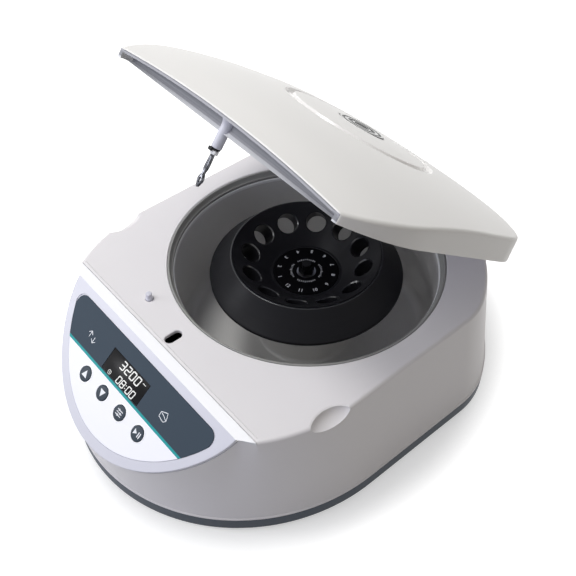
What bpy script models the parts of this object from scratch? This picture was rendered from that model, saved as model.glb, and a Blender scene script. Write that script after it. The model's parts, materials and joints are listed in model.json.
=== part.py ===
"""Bench centrifuge for blood tubes, with its lid open.

Lengths are in metres. The pieces are modelled about the rotor's axis, with z = 0 in the deck plane, X to the
machine's right and the sloped front panel towards -Y. One empty lifts all of it onto its feet. The lid is
modelled closed, and the empty on its hinge axis opens it.
"""

import math

import bmesh
import bpy
from mathutils import Matrix, Vector

# Gaps and cutter overruns
GAP = 0.0003
RUNNING_GAP = 0.0001
OVERRUN = 0.002
WELD = 0.0000001

# Where the machine stands
ROTOR_AXIS_Y = 0.0305
FOOT_HEIGHT = 0.004
BASE_RIM_HEIGHT = 0.0097
HOUSING_HEIGHT = 0.095

# The chamber, from which the deck's and the base's outlines are set out
BOWL_RADIUS = 0.110
CHAMBER_MARGIN = 0.005
CHAMBER_RADIUS = BOWL_RADIUS + CHAMBER_MARGIN

# Deck outline
DECK_SIDE_MARGIN = 0.020
DECK_FRONT_MARGIN = 0.0306
DECK_REAR_MARGIN = 0.0135
DECK_FLANK_DEPTH = 0.0706
DECK_HALF_WIDTH = CHAMBER_RADIUS + DECK_SIDE_MARGIN
DECK_FRONT_Y = -CHAMBER_RADIUS - DECK_FRONT_MARGIN
DECK_FLANK_CENTRE_Y = DECK_FRONT_Y + DECK_FLANK_DEPTH
DECK_REAR_RADIUS = DECK_HALF_WIDTH + DECK_REAR_MARGIN
DECK_BLEND_RADIUS = 0.060
DECK_THICKNESS = 0.003
DECK_FILLET = 0.003
FILLET_RING_SHARES = (0.5, 1.0)

# Base outline
BASE_SIDE_FLARE = 0.0135
BASE_REAR_FLARE = 0.013
BASE_FRONT_REACH = 0.0714
BASE_FRONT_DEPTH = 0.157
BASE_HALF_WIDTH = DECK_HALF_WIDTH + BASE_SIDE_FLARE
BASE_FLANK_CENTRE_Y = DECK_FRONT_Y - BASE_FRONT_REACH + BASE_FRONT_DEPTH
BASE_REAR_RADIUS = DECK_REAR_RADIUS + BASE_REAR_FLARE
BASE_BLEND_RADIUS = 0.075
BASE_FILLET = 0.002
WALL = 0.003

# Base tray
TRAY_FLOOR = 0.003
TRAY_WALL = 0.003
FOOT_RADIUS = 0.010
FOOT_PIN_RADIUS = 0.003
FOOT_SIDE_INSET = 0.0435
FOOT_FRONT_INSET = 0.0506
FOOT_REAR_INSET = 0.0635
FOOT_SPREAD_X = BASE_HALF_WIDTH - FOOT_SIDE_INSET
FOOT_FRONT_Y = DECK_FRONT_Y + FOOT_FRONT_INSET
FOOT_REAR_Y = DECK_REAR_RADIUS - FOOT_REAR_INSET

# Housing screws
SCREW_RADIUS = 0.0015
SCREW_LENGTH = 0.022
SCREW_HEAD_RADIUS = 0.0033
SCREW_HEAD_HEIGHT = 0.0025
SCREW_BOSS_RADIUS = 0.0055
SCREW_BOSS_HEIGHT = 0.022
SCREW_INSET = 0.0083
SCREW_FRONT_TURN = math.radians(50)
SCREW_REAR_TURN = math.radians(45)
SCREW_FRONT_X = (BASE_HALF_WIDTH - SCREW_INSET) * math.sin(SCREW_FRONT_TURN)
SCREW_FRONT_Y = BASE_FLANK_CENTRE_Y - (BASE_FRONT_DEPTH - SCREW_INSET) * math.cos(SCREW_FRONT_TURN)
SCREW_REAR_X = (BASE_REAR_RADIUS - SCREW_INSET) * math.cos(SCREW_REAR_TURN)
SCREW_REAR_Y = (BASE_REAR_RADIUS - SCREW_INSET) * math.sin(SCREW_REAR_TURN)

# Front panel: its plane starts at the foot of the bevel strip and runs down the slope
STRIP_DEPTH = 0.0093
STRIP_FRONT_Y = DECK_FRONT_Y - STRIP_DEPTH
STRIP_DROP = 0.0005
PANEL_SLOPE = math.radians(40.2)
PANEL_SIDE_MARGIN = 0.0315
PANEL_HALF_WIDTH = DECK_HALF_WIDTH - PANEL_SIDE_MARGIN
PANEL_LENGTH = 0.0894
PANEL_THICKNESS = 0.003
PANEL_EDGE = 0.001
PANEL_LEDGE = 0.0025
ARC_POWER_SHARE = 1.4

# Control overlay
OVERLAY_TOP = 0.007
OVERLAY_SIDE_MARGIN = 0.0085
OVERLAY_FRONT_MARGIN = 0.009
OVERLAY_HALF_WIDTH = PANEL_HALF_WIDTH - OVERLAY_SIDE_MARGIN
OVERLAY_LENGTH = PANEL_LENGTH - OVERLAY_FRONT_MARGIN
OVERLAY_CORNER = 0.008
OVERLAY_THICKNESS = 0.0005
OVERLAY_PROUD = 0.0002
DISPLAY_LEFT_X = -0.0295
DISPLAY_RIGHT_X = 0.0184
DISPLAY_TOP = 0.0194
DISPLAY_BOTTOM = 0.0383
DISPLAY_RIM = 0.0012
WINDOW_THICKNESS = 0.0018
KEY_FIRST_X = -0.0385
KEY_PITCH = 0.02413
KEY_ROW = 0.052
KEY_RADIUS = 0.0061
KEY_FLANGE = 0.0011
KEY_FLANGE_THICKNESS = 0.001
KEY_PROUD = 0.0009
KEY_STEM_RADIUS = 0.002
KEY_TRAVEL = 0.001
KEY_NAMES = ("key_up", "key_down", "key_set", "key_run")

# Control board behind the panel
BOARD_DEPTH = 0.008
BOARD_THICKNESS = 0.0016
BOARD_WIDTH_SHARE = 0.547
BOARD_HALF_WIDTH = OVERLAY_HALF_WIDTH * BOARD_WIDTH_SHARE
BOARD_TOP = 0.012
BOARD_BOTTOM = 0.064
BOARD_WINDOW_MARGIN = 0.002
BOARD_POST_RADIUS = 0.003
BOARD_POST_INSET = 0.004

# Finger scoops in the deck's sides
SCOOP_INSET = 0.0511
SCOOP_CENTRE_Y = DECK_FRONT_Y + SCOOP_INSET
SCOOP_OUTSET = 0.005
SCOOP_RISE = 0.001
SCOOP_HALF_DEPTH = 0.0165
SCOOP_HALF_LENGTH = 0.019
SCOOP_HALF_HEIGHT = 0.010

# Chamber
GASKET_WIDTH = 0.0042
GASKET_HEIGHT = 0.007
COLLAR_WALL = 0.005
BOWL_SHEET = 0.0015
BOWL_FLANGE = 0.0085
BOWL_BASE_GAP = 0.003
BOWL_DEPTH = HOUSING_HEIGHT - BOWL_BASE_GAP
BOWL_CORNER = 0.010
DOME_RADIUS = 0.040
DOME_TOP_DEPTH = 0.045
DOME_CORNER = 0.004
SHAFT_HOLE_RADIUS = 0.009

# Motor
MOTOR_RADIUS = 0.031
MOTOR_TOP_DEPTH = 0.050
MOTOR_SOCKET_SHARE = 0.7
MOTOR_PLATE_HALF = 0.055
MOTOR_PLATE_THICKNESS = 0.0025
ISOLATOR_RADIUS = 0.006
ISOLATOR_HEIGHT = 0.004
ISOLATOR_SPREAD = 0.045
SHAFT_RADIUS = 0.004
SHAFT_TOP_DEPTH = 0.0095

# Rotor
ROTOR_LIP_RADIUS = 0.0632
ROTOR_LIP_HEIGHT = 0.0039
ROTOR_LIP_WIDTH = 0.0018
ROTOR_SKIRT_RADIUS = 0.0813
ROTOR_SKIRT_DEPTH = 0.0188
ROTOR_SKIRT_WALL = 0.0028
ROTOR_CONE_FOOT_RADIUS = 0.030
ROTOR_CONE_FOOT_DEPTH = 0.0182
ROTOR_CONE_TILT = math.radians(35.5)
ROTOR_PLATE = 0.006
ROTOR_WEB = 0.0045
TUBE_COUNT = 12
TUBE_HOLE_RADIUS = 0.00875
TUBE_CIRCLE_RADIUS = 0.0475
TUBE_FIRST_TURN = math.radians(9)
DIAL_RADIUS = 0.0275
DIAL_THICKNESS = 0.0012
HUB_RADIUS = 0.014
HUB_SPIGOT_RADIUS = 0.008
HUB_BOTTOM_DEPTH = 0.042
NUT_RADIUS = 0.0068
NUT_HEIGHT = 0.006

# Lid, measured closed
LID_SEAM = 0.0005
LID_WALL = 0.0022
LID_REAR_RELIEF = 0.0015
LID_OPEN = math.radians(37.4)
HINGE_SETBACK = 0.0158
HINGE_Y = DECK_REAR_RADIUS - HINGE_SETBACK
HINGE_DEPTH = 0.0097
LID_LIP_THICKNESS = 0.0028
LID_COVE_FOOT_SETBACK = 0.0058
LID_COVE_DEPTH = 0.0036
LID_COVE_FOOT_Y = DECK_FRONT_Y + LID_COVE_FOOT_SETBACK
LID_COVE_DEEP_Y = LID_COVE_FOOT_Y + LID_COVE_DEPTH
LID_FILLET = 0.0026
LID_SHOULDER = 0.0052
LID_EDGE_HEIGHT = 0.0202
LID_CROWN = 0.0150
LID_RING_RADIUS = 0.061
LID_RING_WIDTH = 0.005
LID_RING_DEPTH = 0.002
LID_RING_SLOPE = 0.001
BADGE_RADIUS = 0.0197
BADGE_THICKNESS = 0.0012
BADGE_PROUD = 0.0002
LINER_HEIGHT = 0.0055
LINER_THICKNESS = 0.0017
LINER_FRONT_SETBACK = 0.0296
LINER_HINGE_GAP = 0.0017
LINER_FRONT_Y = DECK_FRONT_Y + LINER_FRONT_SETBACK
LINER_REAR_Y = HINGE_Y - LINER_HINGE_GAP
# Places along the lid from front to rear, and the edge height and crown there
LID_PLACE_SHARES = (0.0, 0.12, 0.29, 0.43, 0.56, 0.70, 0.85, 1.0)
LID_EDGE_SHARES = (0.371, 0.63, 0.876, 0.985, 1.0, 0.99, 0.93, 0.87)
LID_CROWN_SHARES = (0.453, 0.88, 1.02, 0.96, 0.83, 0.62, 0.36, 0.03)
# Where the seam starts to rise towards the rear, as a share of the deck's rear radius
LID_RELIEF_START_SHARE = 0.6
# Heights of the wall's rings below the lip, in the front cove and round the sides
LID_COVE_RING_SHARES = (0.0, 0.42, 0.88, 1.0)
LID_SIDE_RING_SHARES = (0.0, 0.3, 0.6, 0.8)
# Rings between the lid's edge and its groove, over and under the shell
LID_TOP_RING_SHARES = (0.35, 0.7, 1.0)
LID_UNDER_RING_SHARES = (0.5, 1.0)

# Latch that hangs from the lid's front
LATCH_SETBACK = 0.0086
LATCH_Y = DECK_FRONT_Y + LATCH_SETBACK
LATCH_BOSS_RADIUS = 0.0035
LATCH_BOSS_TOP = 0.0077
LATCH_BOSS_DEPTH = 0.0105
LATCH_COLLAR_THICKNESS = 0.0012
LATCH_COLLAR_HALF_X = 0.0034
LATCH_COLLAR_HALF_Y = 0.0042
LATCH_NUT_RADIUS = 0.0032
LATCH_NUT_HEIGHT = 0.0028
LATCH_LEAF_HALF_X = 0.0016
LATCH_LEAF_HALF_Y = 0.0022
LATCH_NECK_HALF_Y = 0.0011
LATCH_HEAD_HALF_Y = 0.0030
LATCH_HEAD_DEPTH = 0.0310
LATCH_TIP_DEPTH = 0.0402
LATCH_EYE_RADIUS = 0.0012
LATCH_SLOT_HALF_WIDTH = 0.0040
LATCH_SLOT_FRONT_GAP = 0.0049
LATCH_SLOT_REAR_GAP = 0.0100
LATCH_SLOT_FRONT_Y = LATCH_Y - LATCH_SLOT_FRONT_GAP
LATCH_SLOT_REAR_Y = LATCH_Y + LATCH_SLOT_REAR_GAP

# Lock under the deck
CATCH_THICKNESS = 0.0016
CATCH_DEPTH = 0.0255
CATCH_HALF_Y = 0.0080
CATCH_TAIL_HALF_Y = 0.0035
CATCH_HOLE_HALF_X = 0.0042
CATCH_HOLE_FRONT = 0.0052
CATCH_HOLE_REAR = 0.0048
CATCH_SLOT_HALF_Y = 0.0024
CATCH_TRAVEL = 0.0060
CATCH_NOSE = 0.003
CATCH_TAIL = 0.012
SOLENOID_NEAR_X = 0.0145
SOLENOID_LENGTH = 0.026
SOLENOID_WIDTH = 0.019
SOLENOID_DEPTH = 0.036

# Lid switch
PEG_X = -0.0443
PEG_SETBACK = 0.0193
PEG_Y = DECK_FRONT_Y + PEG_SETBACK
PEG_RADIUS = 0.0031
PEG_HEIGHT = 0.006
PEG_DEPTH = 0.012
PEG_TRAVEL = 0.003
PEG_COLLAR = 0.0012
SWITCH_HALF_X = 0.008
SWITCH_HALF_Y = 0.0065
SWITCH_HEIGHT = 0.016

# Hinges
HINGE_X = 0.036
HINGE_PIN_RADIUS = 0.0015
HINGE_PIN_HEAD_RADIUS = 0.0028
HINGE_PIN_HEAD = 0.0012
ARM_HALF_WIDTH = 0.004
ARM_EYE_RADIUS = 0.005
ARM_LEG_HALF = 0.0035
ARM_LEAN = math.radians(32.4)
ARM_FOOT_THICKNESS = 0.003
ARM_FOOT_REACH = 0.0247
ARM_FOOT_FRONT_Y = HINGE_Y - ARM_FOOT_REACH
ARM_CLEARANCE = 0.0008
BRACKET_SHEET = 0.0025
BRACKET_FLANGE = 0.004
BRACKET_FRONT_REACH = 0.0137
BRACKET_REAR_REACH = 0.0041
BRACKET_FRONT_Y = HINGE_Y - BRACKET_FRONT_REACH
BRACKET_REAR_Y = HINGE_Y + BRACKET_REAR_REACH
HINGE_SLOT_FRONT_GAP = 0.0112
HINGE_SLOT_REAR_GAP = 0.0050
HINGE_SLOT_FRONT_Y = HINGE_Y - HINGE_SLOT_FRONT_GAP
HINGE_SLOT_REAR_Y = HINGE_Y + HINGE_SLOT_REAR_GAP

# Rear panel: a flat pocket in the sloping rear wall
POCKET_DEPTH = 0.009
POCKET_HALF_WIDTH = 0.044
POCKET_HALF_HEIGHT = 0.018
POCKET_BASE_DISTANCE = 0.037
POCKET_CENTRE_DEPTH = HOUSING_HEIGHT - POCKET_BASE_DISTANCE
POCKET_FRAME = 0.006
POCKET_FLOOR = 0.004
POCKET_LEDGE = 0.003
REAR_PLATE_THICKNESS = 0.002
INLET_X = -0.024
INLET_HALF_WIDTH = 0.0135
INLET_HALF_HEIGHT = 0.010
INLET_BODY_DEPTH = 0.020
INLET_FLANGE = 0.002
INLET_FLANGE_THICKNESS = 0.0025
INLET_WALL = 0.0022
INLET_SOCKET_DEPTH = 0.016
INLET_BLADE_HALF_WIDTH = 0.001
INLET_BLADE_HALF_HEIGHT = 0.002
INLET_BLADE_LENGTH = 0.010
INLET_BLADE_PITCH = 0.0065
FUSE_X = 0.0045
FUSE_RADIUS = 0.0058
FUSE_FLANGE = 0.0015
FUSE_PROUD = 0.004
FUSE_BODY_DEPTH = 0.018
ROCKER_X = 0.027
ROCKER_HALF_WIDTH = 0.0060
ROCKER_HALF_HEIGHT = 0.0095
ROCKER_FRAME_WALL = 0.0018
ROCKER_FRAME_FLANGE = 0.0015
ROCKER_FRAME_PROUD = 0.002
ROCKER_BODY_DEPTH = 0.014
ROCKER_PIVOT_DEPTH = 0.002
ROCKER_REACH = 0.0055
ROCKER_END_GAP = 0.0006
ROCKER_TILT = math.radians(10)

# Main board on the tray's posts
MAIN_BOARD_HALF_WIDTH = 0.055
MAIN_BOARD_FRONT_REACH = 0.0394
MAIN_BOARD_REAR_SETBACK = 0.0236
MAIN_BOARD_FRONT_Y = DECK_FRONT_Y - MAIN_BOARD_FRONT_REACH
MAIN_BOARD_REAR_Y = DECK_FRONT_Y + MAIN_BOARD_REAR_SETBACK
MAIN_BOARD_LIFT = 0.005
MAIN_POST_RADIUS = 0.0035
MAIN_POST_INSET = 0.006
MAIN_PART_HEIGHT = 0.022
# Parts on the main board: x, y, half width, half length and height, as shares of the board and of their height
MAIN_PART_SHARES = (
    (-0.55, 0.10, 0.26, 0.38, 1.0),
    (0.10, 0.30, 0.16, 0.28, 0.7),
    (0.62, -0.30, 0.18, 0.36, 0.85),
    (0.05, -0.50, 0.22, 0.20, 0.4),
)

# Steps along the curves
PANEL_STEPS = 10
FLANK_STEPS = 5
SIDE_STEPS = 5
BLEND_STEPS = 4
REAR_STEPS = 7
LID_FRONT_STEPS = 6
ROUND_STEPS = 40
MOTOR_STEPS = 20
HOLE_STEPS = 16
SMALL_STEPS = 12

# Where the housing's base loop passes the front panel's ends and the deck's corners
PANEL_END_TURN = math.radians(48)
LEDGE_END_TURN = math.radians(52)
CORNER_TURN = math.radians(55)
QUARTER = math.pi / 2
SMOOTH_ANGLE = math.radians(32)

COLOURS = {
    "white_plastic": ((0.78, 0.77, 0.75), 0.38, 0.0),
    "panel_plastic": ((0.72, 0.71, 0.80), 0.35, 0.0),
    "overlay_film": ((0.12, 0.15, 0.18), 0.45, 0.0),
    "dark_plastic": ((0.05, 0.06, 0.07), 0.5, 0.0),
    "window_plastic": ((0.01, 0.01, 0.012), 0.12, 0.0),
    "rubber": ((0.03, 0.03, 0.03), 0.8, 0.0),
    "bowl_metal": ((0.40, 0.40, 0.41), 0.35, 0.8),
    "rotor_black": ((0.012, 0.012, 0.014), 0.35, 0.2),
    "steel": ((0.55, 0.55, 0.56), 0.3, 1.0),
    "silver": ((0.7, 0.7, 0.7), 0.25, 0.9),
    "board": ((0.02, 0.12, 0.05), 0.6, 0.0),
}


# General helpers


def clear_scene():
    for item in list(bpy.data.objects):
        bpy.data.objects.remove(item)


def material(name):
    """The named material, made on its first use."""
    if name in bpy.data.materials:
        return bpy.data.materials[name]
    colour, roughness, metallic = COLOURS[name]
    made = bpy.data.materials.new(name)
    made.use_nodes = True
    shader = made.node_tree.nodes["Principled BSDF"]
    shader.inputs["Base Color"].default_value = (*colour, 1)
    shader.inputs["Roughness"].default_value = roughness
    shader.inputs["Metallic"].default_value = metallic
    return made


def spread(start, end, steps):
    """Evenly spread values from start to end, both included."""
    return [start + (end - start) * i / steps for i in range(steps + 1)]


def empty(name, parent=None, location=(0, 0, 0), turn_x=0.0):
    made = bpy.data.objects.new(name, None)
    bpy.context.scene.collection.objects.link(made)
    made.parent = parent
    made.location = location
    made.rotation_euler.x = turn_x
    return made


def finish(name, bm, colour, parent, origin=(0, 0, 0)):
    """An object from the bmesh, whose own origin goes to the given point of its parent's frame."""
    origin = Vector(origin)
    bmesh.ops.remove_doubles(bm, verts=bm.verts, dist=WELD)
    bmesh.ops.delete(bm, geom=[edge for edge in bm.edges if not edge.link_faces], context="EDGES")
    bmesh.ops.recalc_face_normals(bm, faces=bm.faces)
    bmesh.ops.translate(bm, verts=bm.verts, vec=-origin)
    mesh = bpy.data.meshes.new(name)
    bm.to_mesh(mesh)
    bm.free()
    mesh.materials.append(material(colour))
    mesh.shade_smooth()
    mesh.set_sharp_from_angle(angle=SMOOTH_ANGLE)
    made = bpy.data.objects.new(name, mesh)
    bpy.context.scene.collection.objects.link(made)
    made.parent = parent
    made.location = origin
    return made


def helper(name, bm, parent, origin=(0, 0, 0)):
    """A shape that only serves a Boolean."""
    made = finish(name, bm, "dark_plastic", parent, origin)
    made.hide_render = True
    made.display_type = "WIRE"
    return made


def boolean(target, other, operation):
    modifier = target.modifiers.new(other.name, "BOOLEAN")
    modifier.operation = operation
    modifier.solver = "EXACT"
    modifier.object = other


def cut(target, *others):
    for other in others:
        boolean(target, other, "DIFFERENCE")


def join(target, *others):
    for other in others:
        boolean(target, other, "UNION")


def add_turned(bm, profile, steps=ROUND_STEPS, centre=(0, 0), turn=0.0):
    """A closed profile of (radius, z) turned about the vertical line through centre."""
    new = []
    rings = []
    for k in range(steps):
        angle = turn + 2 * math.pi * k / steps
        ring = []
        for radius, z in profile:
            point = (centre[0] + radius * math.cos(angle), centre[1] + radius * math.sin(angle), z)
            ring.append(bm.verts.new(point))
        rings.append(ring)
        new += ring
    count = len(profile)
    for k in range(steps):
        ring, following = rings[k], rings[(k + 1) % steps]
        for i in range(count):
            j = (i + 1) % count
            bm.faces.new((ring[i], ring[j], following[j], following[i]))
    return new


def turned(profile, steps=ROUND_STEPS, centre=(0, 0), turn=0.0):
    bm = bmesh.new()
    add_turned(bm, profile, steps, centre, turn)
    return bm


def add_rod(bm, start, end, radius, steps=SMALL_STEPS, end_radius=None):
    """A round rod, or a cone where its two ends differ."""
    start, end = Vector(start), Vector(end)
    along = end - start
    matrix = Matrix.Translation((start + end) / 2) @ along.to_track_quat("Z", "Y").to_matrix().to_4x4()
    bmesh.ops.create_cone(
        bm,
        cap_ends=True,
        segments=steps,
        radius1=radius,
        radius2=radius if end_radius is None else end_radius,
        depth=along.length,
        matrix=matrix,
    )


def rod(start, end, radius, steps=SMALL_STEPS, end_radius=None):
    bm = bmesh.new()
    add_rod(bm, start, end, radius, steps, end_radius)
    return bm


def add_box(bm, low, high):
    low, high = Vector(low), Vector(high)
    size = high - low
    matrix = Matrix.Translation((low + high) / 2) @ Matrix.Diagonal((*size, 1))
    bmesh.ops.create_cube(bm, size=1, matrix=matrix)


def box(low, high):
    bm = bmesh.new()
    add_box(bm, low, high)
    return bm


def skin(bm, lower, upper):
    """Joins two rings of vertices, which may share some."""
    count = len(lower)
    for i in range(count):
        j = (i + 1) % count
        corners = []
        for vert in (lower[i], lower[j], upper[j], upper[i]):
            if vert not in corners:
                corners.append(vert)
        if len(corners) > 2:
            bm.faces.new(corners)


def plate(outline, low, high, point=None):
    """A flat plate over an outline of (x, y), between two heights, each placed by the function point."""
    place = point or (lambda x, y, z: (x, y, z))
    bm = bmesh.new()
    rings = [[bm.verts.new(place(x, y, z)) for x, y in outline] for z in (low, high)]
    skin(bm, *rings)
    for ring in rings:
        bm.faces.new(ring)
    return bm


def side_plate(outline, low_x, high_x):
    """A plate over an outline of (y, z) in the machine's middle plane, between two places along X."""
    return plate(outline, low_x, high_x, lambda y, z, x: (x, y, z))


# Outlines


def rear_half(half_width, rear_radius, blend_radius, side_start_y):
    """The outline's right side, from behind the start of its straight stretch to the rear middle."""
    centre_x = half_width - blend_radius
    centre_y = math.sqrt((rear_radius - blend_radius) ** 2 - centre_x**2)
    meeting = math.atan2(centre_y, centre_x)
    points = [(half_width, y) for y in spread(side_start_y, centre_y, SIDE_STEPS)[1:-1]]
    for angle in spread(0, meeting, BLEND_STEPS):
        points.append((centre_x + blend_radius * math.cos(angle), centre_y + blend_radius * math.sin(angle)))
    for angle in spread(meeting, QUARTER, REAR_STEPS)[1:]:
        points.append((rear_radius * math.cos(angle), rear_radius * math.sin(angle)))
    return points


def deck_half(inset=0.0, front_y=DECK_FRONT_Y):
    """The right half of the deck's outline, from its front corner to the rear middle."""
    radius = DECK_HALF_WIDTH - inset
    start = math.acos((DECK_FLANK_CENTRE_Y - front_y) / radius)
    points = []
    for angle in spread(start, QUARTER, FLANK_STEPS):
        points.append((radius * math.sin(angle), DECK_FLANK_CENTRE_Y - radius * math.cos(angle)))
    return points + rear_half(radius, DECK_REAR_RADIUS - inset, DECK_BLEND_RADIUS - inset, DECK_FLANK_CENTRE_Y)


def base_half(inset=0.0):
    """The right half of the base's outline, from the front middle to the rear middle."""
    half_width, depth = BASE_HALF_WIDTH - inset, BASE_FRONT_DEPTH - inset
    turns = spread(0, PANEL_END_TURN, PANEL_STEPS) + [LEDGE_END_TURN]
    turns += spread(CORNER_TURN, QUARTER, FLANK_STEPS)
    points = []
    for angle in turns:
        points.append((half_width * math.sin(angle), BASE_FLANK_CENTRE_Y - depth * math.cos(angle)))
    rear = rear_half(half_width, BASE_REAR_RADIUS - inset, BASE_BLEND_RADIUS - inset, BASE_FLANK_CENTRE_Y)
    return points + rear


def mirrored(points):
    """The whole ring from its right half, which ends, and may start, on the middle line."""
    left = []
    for point in reversed(points[:-1]):
        if abs(point[0]) > GAP / 2:
            left.append((-point[0], *point[1:]))
    return list(points) + left


def at_height(points, z):
    return [(x, y, z) for x, y in points]


def slope_place(x, down, height=0.0):
    """A point by its distance down the front panel's plane and its height over it."""
    y = STRIP_FRONT_Y - down * math.cos(PANEL_SLOPE) - height * math.sin(PANEL_SLOPE)
    z = -STRIP_DROP - down * math.sin(PANEL_SLOPE) + height * math.cos(PANEL_SLOPE)
    return (x, y, z)


def panel_arc(half_width, length):
    """The right half of the panel's lower arc as (x, distance down the slope), from the front middle."""
    points = []
    for angle in spread(0, QUARTER, PANEL_STEPS):
        down = length * max(math.cos(angle), 0.0) ** ARC_POWER_SHARE
        points.append((half_width * math.sin(angle), down))
    return points


def deck_half_width(y):
    """Half the deck's width at y."""
    half_width, radius = DECK_HALF_WIDTH, DECK_BLEND_RADIUS
    if y < DECK_FLANK_CENTRE_Y:
        return math.sqrt(max(half_width**2 - (DECK_FLANK_CENTRE_Y - y) ** 2, 0.0))
    centre_x = half_width - radius
    centre_y = math.sqrt((DECK_REAR_RADIUS - radius) ** 2 - centre_x**2)
    if y < centre_y:
        return half_width
    meeting_y = DECK_REAR_RADIUS * math.sin(math.atan2(centre_y, centre_x))
    if y < meeting_y:
        return centre_x + math.sqrt(radius**2 - (y - centre_y) ** 2)
    return math.sqrt(max(DECK_REAR_RADIUS**2 - y**2, 0.0))


# Housing


def housing_form(inset, top, slope_height, fillet):
    """The closed form of the housing, or of its hollow: flared walls, flat deck and sloped front."""
    bm = bmesh.new()
    floor = -HOUSING_HEIGHT - (OVERRUN if inset else 0)
    arc_points = panel_arc(PANEL_HALF_WIDTH - inset, PANEL_LENGTH - inset)
    arc = [slope_place(x, down, slope_height) for x, down in arc_points]
    front_y = DECK_FRONT_Y + inset
    corner_x = deck_half(inset, front_y)[0][0]
    ledge = (corner_x, front_y, slope_height)

    def deck_ring(extra, z):
        return at_height(deck_half(inset + extra, front_y), z)

    base_ring = [bm.verts.new(p) for p in mirrored(at_height(base_half(inset), floor))]
    rim_points = mirrored(arc + [ledge] + deck_ring(0.0, top - fillet))
    rim_ring = [bm.verts.new(p) for p in rim_points]
    skin(bm, base_ring, rim_ring)
    bm.faces.new(base_ring)
    fixed = len(arc) + 1
    rings = [rim_ring]
    for share in FILLET_RING_SHARES if fillet else ():
        angle = share * QUARTER
        ring_points = mirrored(
            arc + [ledge] + deck_ring(fillet * (1 - math.cos(angle)), top - fillet * (1 - math.sin(angle)))
        )
        ring = []
        for i, point in enumerate(ring_points):
            on_front = i < fixed or i > len(ring_points) - fixed
            ring.append(rim_ring[i] if on_front else bm.verts.new(point))
        skin(bm, rings[-1], ring)
        rings.append(ring)
    top_ring = rings[-1]
    count = len(top_ring)
    left_corner = count - fixed
    bm.faces.new(top_ring[fixed : left_corner + 1])
    for i, j in ((fixed - 1, left_corner), (fixed - 2, left_corner + 1)):
        bm.faces.new([top_ring[k] for k in (i, i + 1, j, j + 1)])
    bm.faces.new(top_ring[left_corner + 2 :] + top_ring[: fixed - 1])
    return bm


def scoop(side, grown):
    """One finger scoop, or the form that keeps the wall's thickness behind it."""
    bm = bmesh.new()
    bmesh.ops.create_uvsphere(bm, u_segments=HOLE_STEPS, v_segments=SMALL_STEPS, radius=1)
    half_sizes = (SCOOP_HALF_DEPTH + grown, SCOOP_HALF_LENGTH + grown, SCOOP_HALF_HEIGHT + grown)
    centre = (side * (DECK_HALF_WIDTH + SCOOP_OUTSET), SCOOP_CENTRE_Y, SCOOP_RISE)
    bmesh.ops.transform(
        bm, verts=bm.verts, matrix=Matrix.Translation(centre) @ Matrix.Diagonal((*half_sizes, 1))
    )
    return bm


def screw_places():
    return (
        (-SCREW_FRONT_X, SCREW_FRONT_Y),
        (SCREW_FRONT_X, SCREW_FRONT_Y),
        (-SCREW_REAR_X, SCREW_REAR_Y),
        (SCREW_REAR_X, SCREW_REAR_Y),
    )


def screw_bosses():
    bm = bmesh.new()
    low = -HOUSING_HEIGHT
    for x, y in screw_places():
        add_rod(bm, (x, y, low), (x, y, low + SCREW_BOSS_HEIGHT), SCREW_BOSS_RADIUS)
    return bm


def stadium(half_width, front_y, rear_y):
    """A slot's outline, round at both ends, along Y."""
    points = []
    for angle in spread(0, math.pi, SMALL_STEPS // 2):
        points.append((half_width * math.cos(angle), rear_y - half_width + half_width * math.sin(angle)))
    for angle in spread(math.pi, 2 * math.pi, SMALL_STEPS // 2):
        points.append((half_width * math.cos(angle), front_y + half_width + half_width * math.sin(angle)))
    return points


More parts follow.
